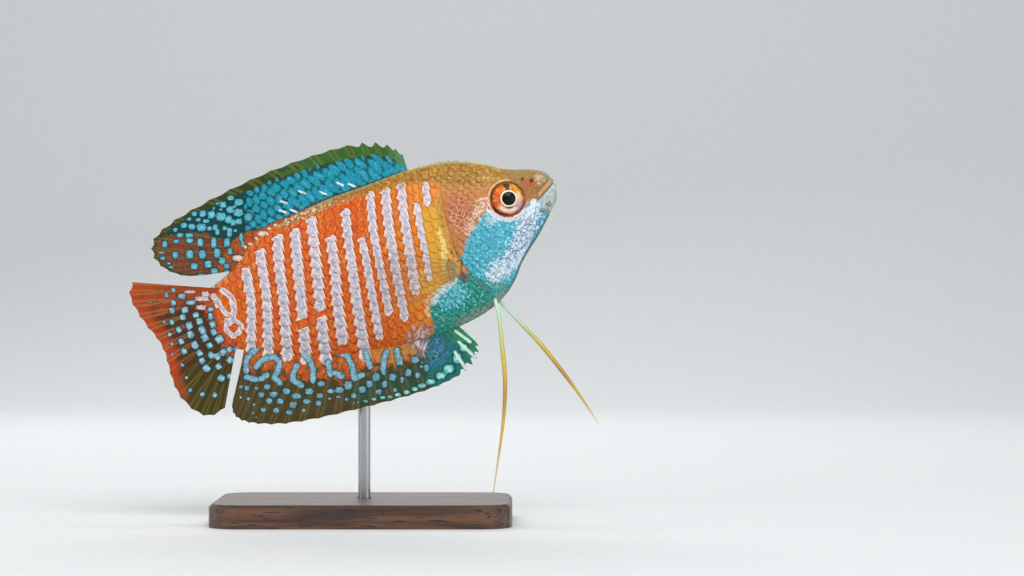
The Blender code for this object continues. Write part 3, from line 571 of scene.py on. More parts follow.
TAIL_SPOTS = [
    (76.9, 8.6, 0.39, 0.45), (78.5, 8.2, 0.36, 0.56), (77.8, 6.3, 0.50, 0.56), (78.6, 5.0, 0.50, 0.61),
    (79.5, 2.9, 0.47, 0.56), (78.7, 1.0, 0.56, 0.64), (79.1, -1.3, 0.50, 0.67), (79.2, -3.3, 0.45, 0.67),
    (82.0, 7.9, 0.36, 0.17), (80.5, 7.2, 0.33, 0.14), (80.9, 3.5, 0.33, 0.28), (80.7, 0.8, 0.45, 0.36),
    (81.0, -1.1, 0.33, 0.28), (80.5, -5.7, 0.33, 0.39), (80.6, -8.3, 0.28, 0.36), (80.8, -10.8, 0.28, 0.5),
    (78.9, -12.4, 0.33, 0.56), (76.7, -13.4, 0.39, 0.56), (81.6, -3.0, 0.28, 0.28), (75.8, 6.9, 0.75, 0.56),
    (74.5, 5.1, 0.95, 0.45), (76.2, 4.2, 0.67, 0.67), (77.1, 3.0, 0.56, 0.61), (76.5, 1.0, 0.67, 0.78),
    (76.9, -0.7, 0.61, 0.78), (76.8, -2.9, 0.61, 0.84), (76.5, -4.7, 0.50, 0.72), (76.6, -6.3, 0.61, 0.56),
    (76.3, -8.0, 0.75, 0.72), (74.5, 2.5, 0.59, 0.56), (74.3, 1.1, 0.67, 0.67), (74.4, -0.7, 0.64, 0.84),
    (74.4, -2.3, 0.67, 0.78), (74.1, -4.0, 0.61, 0.56), (71.4, 2.5, 0.61, 0.45), (71.9, 1.2, 0.50, 0.72),
    (72.1, -0.4, 0.56, 0.72), (72.4, -1.9, 0.50, 0.72), (71.9, -3.6, 0.84, 0.78), (74.5, -5.9, 0.61, 0.72),
    (73.5, -6.6, 0.67, 0.61), (72.1, -6.2, 0.84, 0.47), (70.7, -6.1, 0.61, 0.56), (69.5, -6.5, 0.61, 0.45),
    (71.4, -8.1, 0.56, 0.78), (74.0, -8.5, 0.67, 0.56), (74.3, -10.8, 0.78, 0.61),
    (72.6, -11.1, 0.61, 0.45)]
PINK_SPOTS = [
    (74.0, 7.1, 1.0, 0.25), (72.2, 5.0, 1.34, 0.39), (73.0, 3.5, 0.95, 0.39), (71.3, 5.6, 0.78, 0.5),
    (69.6, 3.0, 0.78, 0.95)]
print(len(BARS), "pale bars,", len(TAIL_SPOTS) + len(PINK_SPOTS), "dabs on the tail and its root")

# %% [markdown]
# ## Seams and patches
# The head is ochre above and turquoise below, with a rose gill cover, and the breast is blue-green. A line
# gives each seam between two colours and each narrow band. A patch within one colour is an oval.

# %% Seams and patches
NAPE_SEAM = [
    (-1.0, 3.0), (5.0, 5.0), (11.0, 4.7), (15.8, 6.1), (19.3, 7.9), (24.0, 10.2), (30.0, 11.7),
    (38.0, 12.8), (45.0, 13.9), (52.0, 14.4), (58.0, 14.0), (66.0, 10.4), (72.0, 9.5)]
FACE_TOP = [
    (-1.0, 2.3), (4.3, -0.6), (6.3, -0.5), (8.0, -1.9), (9.7, -2.4), (11.8, -1.7), (13.0, 0.2), (14.8, 0.9),
    (16.2, -0.4), (17.6, -0.9), (19.4, -2.6), (21.2, -4.6), (24.0, -7.0)]
WHITE_BAND = [(4.8, -0.9), (6.6, -2.8), (8.4, -5.2), (11.0, -8.0), (14.1, -10.0), (17.1, -10.9)]
UNDER_EYE = [(5.0, -0.8), (6.0, -1.8), (7.4, -2.5)]
PEACH_LINE = [(13.4, 2.6), (15.2, 3.2), (15.2, 1.8), (17.2, 0.2), (18.8, -1.4)]
GOLD_LINE = [(24.6, 3.5), (25.4, -1.0), (26.4, -5.5), (29.4, -7.6)]
YELLOW_LINE = [(24.0, 0.8), (24.2, -1.4), (25.1, -4.8), (25.9, -7.2)]
BREAST_EDGE = [
    (23.0, -8.0), (25.9, -8.9), (26.7, -9.2), (29.1, -10.0), (30.4, -10.8), (31.3, -12.4), (31.7, -14.1),
    (31.9, -16.0), (33.5, -19.0)]
# Dark lines at the pectoral fin's fleshy root. The first runs round its front and lower edge as painted shade
# where the raised root stands out. The two short ones above it are dark marks of the skin.
SEAT_LINES = [
    [(23.1, -6.1), (22.3, -6.2), (22.4, -7.0), (23.0, -8.0), (22.9, -9.1), (23.5, -10.1)], [(24.6, -3.7),
    (24.5, -5.2)], [(23.5, -3.6), (23.4, -4.6)]]

BREAST_STRIPE = [(24.8, -9.4), (28.4, -10.4), (30.4, -11.8)]
PATCHES = {  # ovals of colour: s, h, half length, half height, lean and softness
    "veined": [(8.8, -5.4, 3.6, 2.6, -45, 0.5), (13.0, -8.6, 3.4, 1.6, -25, 0.6)],
    "rose": [(19.4, 1.8, 3.4, 5.4, 14, 0.7)],
    "pale_eye": [(13.8, -0.8, 2.0, 1.8, 0, 0.8)],
    "pale_nose": [(2.0, 3.4, 1.6, 1.2, -30, 0.8)],
    "jaw_spots": [(2.6, -2.1, 0.7, 0.6, 0, 0.8), (4.2, -2.7, 0.8, 0.6, 0, 0.8),
                  (3.3, -3.3, 0.6, 0.5, 0, 0.8)],
    "breast_blue": [(26.2, -12.2, 3.6, 2.4, -12, 0.5)],
    "fin_root": [(24.3, -7.1, 1.3, 1.9, -15, 0.4)],
    # painted shade under the fin's fleshy root
    "shade_under_fin_root": [(23.0, -9.2, 0.8, 1.4, -15, 0.5)],
    "streaky": [(35.2, -16.8, 3.6, 2.0, -12, 0.9)]}
print("patches of", len(PATCHES), "kinds")

# %% [markdown]
# ## Fields of bars and spots
# A field says how far a place is from the nearest bar or spot, so one number draws its middle, its edge and
# a rim round it. It counts 0 in the middle and 1 at the edge.

# %% Fields of bars and spots
def bar_lines(h):
    """The s of each bar's middle at height h, front to back, one row for each bar."""
    rows = []
    for bar in BARS:
        line = sorted(((h0, s0) for s0, h0 in bar))
        heights, places = [p[0] for p in line], [p[1] for p in line]
        past = np.minimum(h - heights[0], 0) + np.maximum(h - heights[-1], 0)
        rows.append(np.interp(h, heights, places) + past * BAR_LEAN)
    return np.array(rows)


def spot_field(s, h, spots, power=2.6, focus=None):
    """How far each place is from the nearest spot's middle, 1 at its edge. A spot is (s, h, half x, half z).

    Spots stand level with the room, or square to the rays from a focus at (focus, 0). Power squares them."""
    field = np.full(np.shape(s), NOWHERE)
    for spot_s, spot_h, half_x, half_z in spots:
        turn = HEAD_UP
        if focus is not None:
            turn = math.atan2(spot_h, spot_s - focus)
            c, d = math.cos(turn - HEAD_UP), math.sin(turn - HEAD_UP)
            half_x, half_z = math.hypot(half_x * c, half_z * d), math.hypot(half_x * d, half_z * c)
        ahead, up = math.cos(turn), math.sin(turn)
        x, z = (s - spot_s) * ahead + (h - spot_h) * up, (h - spot_h) * ahead - (s - spot_s) * up
        far = (np.abs(x / half_x) ** power + np.abs(z / half_z) ** power) ** (1 / power)
        field = np.minimum(field, far)
    return field


def bar_reaches(lines, k):
    """How far bar k reaches ahead of its middle and behind it."""
    before = lines[k] - lines[k - 1] if k else FIRST_GAP
    after = lines[k + 1] - lines[k] if k < len(BARS) - 1 else LAST_GAP
    return BAR_REACH * before, BAR_REACH * after


def curl_field(s, h):
    """How far each place is from the curls at the tail's root, 1 at half their width."""
    return np.minimum.reduce([from_line(s, h, line) / half for line, half in CURLS])


def bar_field(s, h):
    """How far each place is from the middle of the nearest bar, curl or spot of the body, 1 at its edge."""
    lines = bar_lines(h)
    field = np.minimum(NOWHERE, curl_field(s, h))
    for k, bar in enumerate(BARS):
        reach = np.maximum(np.where(s < lines[k], *bar_reaches(lines, k)), 0.2)
        over = 1 + np.maximum(h - bar[0][1], bar[-1][1] - h) / 0.7
        if k in BAR_GAPS:
            over = np.maximum(over, 1 + np.minimum(h - BAR_GAPS[k][0], BAR_GAPS[k][1] - h) / 0.35)
        far = (np.abs((s - lines[k]) / reach) ** 3 + np.maximum(over, 0) ** 3) ** (1 / 3)
        field = np.minimum(field, far)
    near_body = [spot for spot in TAIL_SPOTS if spot[0] < 73]
    return np.minimum(field, spot_field(s, h, BASE_SPOTS + PINK_SPOTS + near_body))


print("the bars stand", round(float(np.diff(bar_lines(np.array([0.0]))[:, 0]).mean()), 2), "mm apart")

# %% [markdown]
# ## The marks
# A mark is a number on each point of a mesh, which the paint reads. Bars and spots count 1 at their edge and
# 2 in their middle, and areas run from 0 outside to 1 inside. Skin and scales get theirs from one function.

# %% Marks of skin and scales
def most(*masks):
    """The strongest of several marks."""
    return np.maximum.reduce(masks)


def follow(x, line):
    """The height of a line of points at x."""
    return np.interp(x, [p[0] for p in line], [p[1] for p in line])


def breast_rear(h):
    """The s of the pale line behind the breast."""
    return follow(-np.asarray(h), [(-edge_h, edge_s) for edge_s, edge_h in BREAST_EDGE])


def body_marks(points):
    """Every mark of skin and scales, for points in the fish's frame."""
    s, h = points[:, 0], points[:, 1]
    bar = 2 - bar_field(s, h)
    behind_edge = s - gill_edge(h)
    trunk = step(s, gill_edge(h) - 0.2, gill_edge(h) + 0.2)
    front = 1 - step(s + 0.25 * h, 24, 44)
    face = step(follow(s, FACE_TOP) - h, -1.1, 0.9) * (1 - trunk)
    from_eye = np.hypot(s - EYE_S, h - EYE_H)
    under_back, over_belly = back(s) - h, h - belly(s)
    back_along, above, length = mouth_place(s, h)
    to_white = from_line(s, h, WHITE_BAND)
    rear = breast_rear(h)
    breast = trunk * step(-h, 8.4, 9.2) * (1 - step(s, rear - 0.4, rear + 0.3))
    marks = {mark: most(*[oval(s, h, *patch) for patch in patches]) for mark, patches in PATCHES.items()}
    for mark, area in (("rose", 1 - trunk), ("breast_blue", breast), ("fin_root", trunk), ("streaky", trunk)):
        marks[mark] = marks[mark] * area
    white = 0.8 * (1 - step(to_white, 0.2, 3.6)) + 0.25 * (1 - step(to_white, 2.5, 6.5))
    under_eye = 1 - step(from_line(s, h, UNDER_EYE), 0.4, 1.2)
    round_eye = window(from_eye, 3.75, 4.3, 0.5) * step(0.36 * (s - EYE_S) - 0.93 * (h - EYE_H), 0.8, 2.4)
    return marks | {
        "place": points, "bar": bar, "bar_front": bar - (1 - front) * 1.2, "trunk": trunk, "front": front,
        "tops": (1 - step(under_back, 1.0, 3.6)) * window(s, 33, 50, 9),
        "nape": step(h - follow(s, NAPE_SEAM), -1.3, 1.3),
        "back_rim": 1 - step(under_back, 0.2, 1.3),
        "gold": (1 - step(from_line(s, h, GOLD_LINE), 1.5, 4.0)) * trunk,
        "yellow": (1 - step(from_line(s, h, YELLOW_LINE), 0.3, 1.0)) * trunk,
        "head": (1 - trunk) * (1 - step(face, 0.5, 0.55)),
        "behind_gill": window(behind_edge, 0.0, 1.0, 0.8) * window(h, -7.5, 6, 2.5) * trunk,
        "face": face,
        "white": np.clip(white, 0, 1) * face,
        "lilac": most(under_eye, round_eye),
        "peach": 1 - step(from_line(s, h, PEACH_LINE), 0.2, 2.0),
        "snout": (1 - step(s - 0.3 * h, 5.6, 7.6)) * (1 - face),
        "snout_red": oval(s, h, 4.7, 3.0, 1.7, 1.2, 10, 0.6) + 0.9 * oval(s, h, 3.4, 0.4, 1.2, 0.5, -25, 0.5),
        "snout_top": (1 - step(under_back, 0.5, 1.9)) * (1 - step(s, 5, 9)),
        "tip": (1 - step(s, 0.5, 2.0)) * step(h, 0.6, 1.8),
        "lip": window(above, 0.15, 0.8, 0.25) * (1 - step(back_along, 4.2, 5.4)) * step(s, 0.3, 0.9),
        # painted shade in the groove above the upper lip
        "lip_groove_shade": bell(above - 1.15, 0.2) * window(back_along, 1.0, 4.4, 0.8),
        "jaw": face * (1 - step(s - 0.25 * h, 3.4, 5.2)),
        # painted shade in the mouth's slit
        "mouth_slit_shade": bell(above, 0.17) * (1 - step(back_along, length - 0.3, length + 0.3)),
        "low_cheek": step(-h - 0.55 * (22 - s), 9.0, 10.4) * (1 - trunk) * step(s, 13, 17),
        "chin_rim": (1 - step(over_belly, 0.25, 1.1)) * (1 - step(s, 16, 22)) * step(s, 1.5, 4),
        "breast": breast,
        "breast_white": (1 - step(from_line(s, h, BREAST_STRIPE), 0.3, 1.3)) * breast,
        "ridge": (1 - step(over_belly, 0.8, 2.6)) * window(s, 17.5, 27, 3),
        "cream_line": bell(s - rear - 0.5, 0.6) * step(-h, 8.6, 9.4) * (1 - step(-h, 13.5, 16)),
        # seat: painted shade round the fin's root, and two short dark marks of the skin above it
        "seat": most(*[1 - step(from_line(s, h, line), 0.08, 0.34) for line in SEAT_LINES]),
        # painted shade in the groove under the gill cover's raised edge
        "gill_slit_shade": bell(behind_edge - 0.1, 0.28) * window(h, -11.5, -3.5, 2.5),
        # painted shade in the nostril pits
        "nostril_pit_shade": most(*[1 - step(np.hypot(s - a, h - b), r * 0.5, r * 1.1) for a, b, r in NOSTRILS]),
        # ring: a pale line on the socket's raised rim, painted as its highlight
        "ring": bell(from_eye - 3.74, 0.22) * step(s - EYE_S, -3.2, -1.0),
        "ring_low": bell(from_eye - 3.40, 0.22) * step(EYE_H - h, 0.2, 1.6),
    }


print("marks on a point of the skin:", len(body_marks(np.array([[10.0, 0.0, 4.0]]))))

# %% [markdown]
# ## The body's paint
# Three lists hold the body's coats in the order in which they are laid, from the orange ground to the painted
# shade in the mouth and the nostrils. Skin and scales share them, so no marking shows a step where the scales
# begin. A coat that starts above 1 shows only where its mottle lifts it, and so makes specks.

# %% Paint of the flank
FLANK_COATS = [
    ("trunk", "#C8441E", 1, 1.5, 0.9, "cloud", 0.85),
    ("front", "#DE8026", 0.2, 0.9, 0.4, "cloud", 1.0),
    ("trunk", "#B23C1A", 1.1, 1.6, 0.9, "grain", 0.7),
    ("trunk", "#EBA23E", 1.08, 1.58, 0.9, "strokes", 0.75),
    ("gold", "#DDA23A", 0.3, 0.8, 0.5, "grain", 1.0),
    ("gold", "#B06C24", 1.1, 1.6, 0.9, "dust", 0.7),
    ("yellow", "#EFD884", 0.45, 0.95, 0.9, "grain", 0.9),
    ("behind_gill", "#C8954A", 0.4, 0.8, 0.8, "grain", 0.9),
    ("behind_gill", "#7E4E2C", 0.95, 1.45, 0.9, "net", 0.8),
    ("bar", "#9C4420", 0.58, 0.9, 0.5, "teeth", 0.75),
    ("bar", "#F2D6C8", 0.92, 1.05, 0.5, "teeth", 1.0),
    ("bar", "#BDB6C8", 1.26, 1.62, 0.6, "teeth", 1.0),
    ("bar_front", "#CDC4D0", 1.2, 1.5, 0.5, "teeth", 1.0),
    ("bar", "#A4B2C6", 1.45, 2, 0.9, "cloud", 0.8),
    ("bar", "#7C809A", 1.65, 2.2, 1, "dust", 0.6),
    ("bar", "#EFE2E0", 1.6, 2.1, 1.1, "grain", 0.4),
]
print("coats of paint on the flank:", len(FLANK_COATS))

# %% [markdown]
# ## Head and back
# The skin is ochre here, with brown and pale specks over it, and a brown net runs over the nape.

# %% Paint of the head and back
UPPER_COATS = [
    ("head", "#C48244", 0.4, 0.6, 0.3, "cloud", 1.0),
    ("head", "#96542E", 0.95, 1.45, 0.9, "grain", 0.85),
    ("head", "#E2B080", 1.1, 1.6, 0.9, "dust", 0.8),
    ("tops", "#A9925C", 0.5, 1.3, 0.9, "grain", 0.85),
    ("tops", "#6A5A30", 0.8, 1.25, 1, "dust", 0.8),
    ("tops", "#EADCC0", 0.85, 1.35, 1.1, "grain", 0.8),
    ("nape", "#AC8234", 0.52, 0.95, 1, "grain", 1.0),
    ("nape", "#A45C22", 1.0, 1.5, 0.9, "cloud", 0.6),
    ("nape", "#74501E", 1.0, 1.5, 0.9, "dust", 0.8),
    ("nape", "#80481C", 0.95, 1.45, 0.9, "net", 0.7),
    ("nape", "#D9BC58", 1.05, 1.55, 0.9, "grain", 0.75),
    ("back_rim", "#A3A878", 0.47, 1, 0.9, "dust", 0.9),
    ("rose", "#B4684C", 0.45, 1.0, 0.9, "grain", 0.9),
    ("rose", "#8C4644", 1, 1.5, 0.9, "grain", 0.8),
    ("rose", "#EBBA96", 0.95, 1.45, 0.9, "net", 0.9),
    ("rose", "#DD8A4E", 1.1, 1.6, 0.9, "dust", 0.8),
    ("snout", "#96763E", 0.35, 0.95, 0.7, "cloud", 1.0),
    ("snout", "#B8743C", 0.95, 1.45, 0.9, "cloud", 0.8),
    ("snout", "#7A5236", 1.0, 1.5, 0.9, "grain", 0.8),
    ("snout", "#D0A678", 1.05, 1.55, 0.9, "dust", 0.8),
    ("snout", "#6A4630", 0.95, 1.45, 0.9, "lines", 0.7),
    ("snout_red", "#AC5428", 0.5, 1.15, 1.0, "grain", 0.85),
    ("pale_nose", "#C2B096", 0.5, 1.1, 1.0, "grain", 0.85),
    ("snout_top", "#8A8650", 0.5, 1.1, 0.9, "grain", 0.8),
    ("tip", "#949A76", 0.35, 0.9, 0.6, "grain", 0.9),
]
print("coats of paint on the head and back:", len(UPPER_COATS))

# %% [markdown]
# ## Face and breast
# A male in colour has a turquoise face with a white band, a pale jaw and a blue-green breast. Painted shade
# in the mouth's slit, the gill opening and the nostril pits comes last, as a painter would lay it.

# %% Paint of the face and breast
LOWER_COATS = [
    ("face", "#4FB2C6", 0.36, 0.62, 0.7, "grain", 1.0),
    ("face", "#1F7C98", 0.98, 1.48, 0.9, "net", 0.75),
    ("face", "#9AD3DE", 1.02, 1.52, 0.9, "grain", 0.85),
    ("face", "#2C6E92", 1.12, 1.62, 0.9, "strokes", 0.6),
    ("pale_eye", "#B4D2DC", 0.5, 1.2, 0.9, "grain", 0.85),
    ("low_cheek", "#2A9890", 0.35, 0.8, 0.7, "grain", 1.0),
    ("low_cheek", "#8CCFC8", 1.05, 1.55, 0.9, "dust", 0.8),
    ("low_cheek", "#14605E", 1.1, 1.6, 0.9, "net", 0.6),
    ("white", "#CDDBEA", 0.5, 1.05, 1, "grain", 0.95),
    ("white", "#F2F3FA", 0.9, 1.3, 1, "dust", 0.9),
    ("white", "#5F8FB0", 0.98, 1.48, 0.9, "strokes", 0.8),
    ("lilac", "#DCE2F0", 0.47, 0.85, 0.9, "grain", 0.95),
    ("veined", "#2A5A7E", 0.85, 1.25, 0.9, "net", 0.85),
    ("veined", "#EEF2F8", 0.95, 1.45, 0.9, "dust", 0.85),
    ("peach", "#E6CAB8", 0.55, 1.15, 1.1, "grain", 0.9),
    ("peach", "#8A5A48", 0.95, 1.45, 0.9, "net", 0.6),
    ("jaw", "#B4BCAE", 0.35, 0.8, 0.5, "grain", 0.95),
    ("jaw", "#E2E9EC", 1.05, 1.55, 0.9, "grain", 0.8),
    ("jaw", "#5F7A74", 0.95, 1.45, 0.9, "dust", 0.8),
    ("jaw", "#C4CFE0", 0.75, 1.35, 0.9, "cloud", 0.85),
    ("jaw_spots", "#66604A", 0.5, 1.0, 1.0, "dust", 0.8),
    ("lip", "#CE9464", 0.4, 1.0, 0.6, "dust", 0.9),
    # painted shade in the groove above the upper lip
    ("lip_groove_shade", "#5E4230", 0.5, 1.0, 0.5, "dust", 0.7),
    ("chin_rim", "#3A6468", 0.35, 0.9, 0.6, "dust", 0.9),
    ("breast", "#2E9A8A", 0.35, 0.65, 0.5, "grain", 1.0),
    ("breast_blue", "#62C2D6", 0.47, 0.95, 0.9, "grain", 1.0),
    ("breast", "#0F5652", 0.98, 1.48, 0.9, "net", 0.8),
    ("breast", "#12605A", 1.1, 1.6, 0.9, "dust", 0.6),
    ("breast", "#A8DCD8", 1.08, 1.58, 0.9, "grain", 0.8),
    ("ridge", "#76917E", 0.47, 0.9, 0.9, "grain", 0.95),
    ("ridge", "#DDE6E0", 1.05, 1.55, 0.9, "dust", 0.9),
    ("ridge", "#2A443E", 1.05, 1.55, 0.9, "grain", 0.85),
    ("breast_white", "#E4EDEF", 0.52, 0.95, 1, "dust", 0.9),
    ("cream_line", "#E2C294", 0.42, 0.9, 0.8, "grain", 0.85),
    ("streaky", "#A07068", 0.42, 0.9, 0.8, "grain", 0.85),
    ("streaky", "#E6D2D8", 0.7, 1.3, 0.9, "strokes", 0.85),
    ("fin_root", "#AE9258", 0.3, 0.85, 0.5, "grain", 1.0),
    # painted shade under and round the fin's fleshy root, with two short dark marks of the skin
    ("shade_under_fin_root", "#7C4A44", 0.42, 0.9, 0.8, "grain", 0.8),
    ("seat", "#523820", 0.4, 0.95, 0.4, "dust", 0.75),
    # painted shade under the gill cover's edge
    ("gill_slit_shade", "#5A3A2C", 0.5, 1.1, 0.6, "grain", 0.7),
    # painted highlight: a pale peach line on the socket's raised rim
    ("ring", "#E4C2A8", 0.4, 1.0, 0.5, "dust", 0.85),
    ("ring_low", "#6E4A52", 0.35, 0.95, 0.4, "dust", 0.85),
    # painted shade in the mouth's slit
    ("mouth_slit_shade", "#5C3A2C", 0.5, 0.95, 0.3, "dust", 0.85),
    # painted shade in the nostril pits
    ("nostril_pit_shade", "#4A3226", 0.4, 0.9, 0.2, "dust", 0.85),
]
body_paint = lacquered("lacquered_skin", "#D65F1F", FLANK_COATS + UPPER_COATS + LOWER_COATS)
print("coats of paint on the face and breast:", len(LOWER_COATS))

# %% [markdown]
# ## One skin
# The skin is a grid of rings, close together on the head, where relief is fine, and wider on the trunk.
# It closes in a point at the snout and in a round edge at the tail's root, and replaces all the flesh solids,
# so no seam shows between head, trunk and stalk.

# %% The skin
RINGS = np.concatenate([np.geomspace(0.012, 0.9, 14), np.arange(1.0, 26.0, 0.15), np.arange(26.0, 69.2, 0.45),
                        BODY_LENGTH + TAIL_ROUND * np.sin(np.linspace(0, math.pi / 2, 6))])
AROUND = 125  # points from the back's ridge to the belly's on one side


def skin_mesh():
    """Points and faces of the whole skin."""
    shares = np.linspace(1, -1, AROUND)
    s, share = np.meshgrid(RINGS, shares, indexing="ij")
    right = skin_place(s, share, -1)
    left = skin_place(s, share, 1)[:, -2:0:-1]
    rings = np.concatenate([right, left], axis=1)
    rings[:, [0, AROUND - 1], 2] = 0
    around = rings.shape[1]
    points = rings.reshape(-1, 3)
    faces = tube_faces(len(RINGS), around).tolist()
    tip = len(points)
    points = np.vstack([points, [(0.0, 1.0, 0.0)]])
    faces += [(tip, k, (k + 1) % around) for k in range(around)]
    last = (len(RINGS) - 1) * around
    faces.append((last, last + around - 1, last + 1))
    for k in range(1, AROUND - 2):
        faces.append((last + k, last + around - k, last + around - k - 1, last + k + 1))
    faces.append((last + AROUND - 2, last + AROUND, last + AROUND - 1))
    return points, faces


skin_points, skin_faces = skin_mesh()
make_piece("skin", skin_points, skin_faces, body_marks(skin_points), body_paint, "flank_scales",
           "head", "lower_jaw", "trunk", "tail_stalk")

# %% [markdown]
# ## Scales
# Scales lie like roof tiles: each is rooted under the one ahead, and its round rear edge stands free. Each is
# a thin closed plate of its own, bent to the body.

# %% A coat of scales
PLATE_ROWS, PLATE_COLUMNS = 6, 7
PLATE = 0.03, 0.02  # a scale's thickness at its root, and what it gains towards its free edge
PATCH = 0.003  # the size of a scale's patch on its map
chance = np.random.default_rng(7)


def scale_coat(name, scales, side, slot, tilt):
    """One mesh of plates. Each scale is (rear s, row height, length, half height)."""
    scales = np.array(scales, float)
    a, b = np.meshgrid(np.linspace(0, 1, PLATE_ROWS), np.linspace(-1, 1, PLATE_COLUMNS), indexing="ij")
    a, b = a.ravel(), b.ravel()  # shares of the length from the root, and of the half height
    count, per = len(scales), len(a)
    rear, row, length, half = (scales[:, [k]] for k in range(4))
    round_off = (1 - np.sqrt(1 - (0.96 * b) ** 2)) * half * 0.85
    s = np.clip(rear - length + (length - round_off) * a, STATIONS[0], STATIONS[-1])
    share = share_at(s, row + b * half * (0.78 + 0.22 * np.minimum(a * 2, 1)))
    wobble = chance.uniform(-1, 1, (count, 3))[:, [0]]
    rise = tilt * a ** 1.3 * (1 + 0.12 * wobble) - 0.02 - 0.04 * b ** 2
    upper = skin_place(s, share, side, rise)
    lower = skin_place(s, share, side, rise - PLATE[0] - PLATE[1] * a)
    points = np.concatenate([upper, lower], axis=1).reshape(-1, 3)
    first = np.arange(count) * 2 * per
    faces = (slab_faces(PLATE_ROWS, PLATE_COLUMNS, side > 0) + first[:, None, None]).reshape(-1, 4).tolist()
    map_u = 0.5 + side * (0.02 + 0.22 * (1 + share_at(rear, row)))
    map_v = 0.05 + rear / 80.0
    patch = PATCH * np.column_stack([np.tile(b / 2, 2 * count), np.tile(a, 2 * count)])
    patches = np.repeat(np.column_stack([map_u, map_v]), 2 * per, axis=0) + patch
    make_piece(name, points, faces, body_marks(points), body_paint, slot, patches=patches)


print("a scale is", PLATE[0], "mm thick at its root and", round(sum(PLATE), 2), "mm at its free edge")

# %% [markdown]
# ## Scales of the flank
# Rows run along the body 2.05 mm apart. Their columns follow the pale bars, one column to a bar and one to
# the space between, because that is how the real bars come about.

# %% Rows of the flank
def height_of(s, t):
    """The height of a place given by its way round the section."""
    return read(BODY, np.asarray(s, float), share_at(np.asarray(s, float), np.asarray(t, float)))[..., 1]


def flank_scales():
    """The flank's scales, row by row, in columns that follow the bars."""
    scales = []
    for j in range(-10, 10):
        t = (j + 0.3) * ROW
        edges = []
        for k in range(len(BARS)):
            s = bar_lines(np.array([t]))[k, 0]
            for _ in range(4):
                h = float(height_of(s, t))
                lines = bar_lines(np.array([h]))[:, 0]
                s = lines[k]
            if k == 0 and h < 5.0:
                continue
            before, after = bar_reaches(lines, k)
            edges += [lines[k] - before, lines[k] + after]
        ahead_of_bars = [edges[0] - 1.5 * n for n in range(6, 0, -1)]
        behind_bars = [edges[-1] + 1.45 * n for n in range(1, 6)]
        edges = ahead_of_bars + edges + behind_bars
        for ahead, rear in zip(edges, edges[1:]):
            rear = rear + chance.uniform(-0.1, 0.1)
            pitch = max(rear - ahead, 0.9)
            middle = rear - pitch / 2
            if rear > BODY_LENGTH + 1.5 or rear < 22:
                continue
            h = float(height_of(middle, t))
            below, above = girth_at(middle)
            edge = float(gill_edge(np.array(h)))
            if above - t < 0.3 or t + below < 0.3 or rear - pitch < edge - 0.2:
                continue
            if h < -8.6 and rear < breast_rear(h):
                continue
            scales.append((rear, t, min(pitch + 1.25, rear - edge), ROW * 0.64))
    return scales


flank = flank_scales()
print(len(flank), "scales on each flank")

# %% [markdown]
# ## Scales of the head and breast
# They are smaller and don't follow the bars, so plain rows do, every other one set half a scale back. A
# function for each area says where they stand. The coats are then laid on both sides.

# %% Small scales, and all the coats
def small_scales(pitch, row, inside):
    """Scales in plain staggered rows wherever inside says so."""
    scales = []
    for j in range(-34, 34):
        t = j * row
        for i in range(90):
            rear = 9.0 + (i + 0.5 * (j % 2)) * pitch
            if rear > 40:
                break
            below, above = girth_at(rear)
            if not -below - 0.2 < t < above + 0.2:
                continue
            h = float(height_of(rear - pitch / 2, t))
            if inside(rear, h, pitch):
                scales.append((rear, t, pitch * 1.85, row * 0.66))
    return scales


def on_head(rear, h, pitch):
    """Gill cover, cheek and nape, but not the face."""
    edge = float(gill_edge(np.array(h)))
    clear_of_eye = math.hypot(rear - pitch - EYE_S, h - EYE_H) > 4.7
    cover_end = edge + 0.15 if h < 8.5 else edge + 1.5
    return clear_of_eye and rear < cover_end and rear > 13.2 - 0.25 * min(h, 0) and h > -13.0


def on_breast(rear, h, pitch):
    """The breast, from the gill opening back to the pale line."""
    edge = float(gill_edge(np.array(h)))
    return h < -8.0 and edge + 0.9 < rear < breast_rear(h) + 0.6


head_list = small_scales(1.30, 1.25, on_head)
breast_list = small_scales(1.15, 1.10, on_breast)
for side, word in SIDES:
    scale_coat(f"flank_scales_{word}", flank, side, "flank_scales", 0.10)
    scale_coat(f"head_scales_{word}", head_list, side, "head_skin", 0.09)
    scale_coat(f"breast_scales_{word}", breast_list, side, "throat_skin", 0.09)
print("scales on each side:", len(head_list), "on the head and", len(breast_list), "on the breast")

# %% [markdown]
# ## Eyes
# A fish's eye is a flat disc of iris with a round lens that bulges through the pupil, under a clear
# window. A taxidermist uses a painted glass eye. Its paint here is coats in rings and sectors, broken by fine
# spokes, with a glossy coat for the glass.

# %% The eyes' finish
EYE_W, EYE_DEPTH, EYE_FORWARD = 3.1, 1.75, math.radians(10)
PUPIL, PUPIL_RISE = 1.37, 0.28
IRIS_COATS = [  # mark, tint, start, full, ragged by the spokes or, below 0, against them, and depth
    ("from_centre", "#CE5C1E", 2.0, 3.1, 0.9, 0.8), ("rear_red", "#DC5A20", 0.2, 0.95, 0.5, 0.85),
    ("amber", "#D99A1C", 0.15, 0.85, 0.6, 1.0), ("cream", "#EADBA8", 0.2, 1.0, 0.6, 0.95),
    ("pink", "#D0A6AE", 0.15, 0.9, 0.6, 0.95), ("iris", "#8E3C16", 1.0, 1.5, 0.9, 0.65),
    ("iris", "#F6C88C", 1.0, 1.5, -0.9, 0.55), ("under", "#3A2A22", 0.35, 0.9, 0.5, 0.9),
    ("crescent", "#F4E0DA", 0.2, 0.9, 0.6, 0.95), ("wedge", "#2A2D18", 0.2, 0.85, 0.6, 0.95),
    ("low_rim", "#7A4C4C", 0.3, 0.9, 0.3, 0.95), ("top_rim", "#7E5024", 0.3, 0.9, 0.3, 0.9),
    ("inner_ring", "#F7EAC8", 0.35, 0.8, 0.15, 1.0), ("pupil", "#0C0F0C", 0.35, 0.65, 0.05, 1.0)]


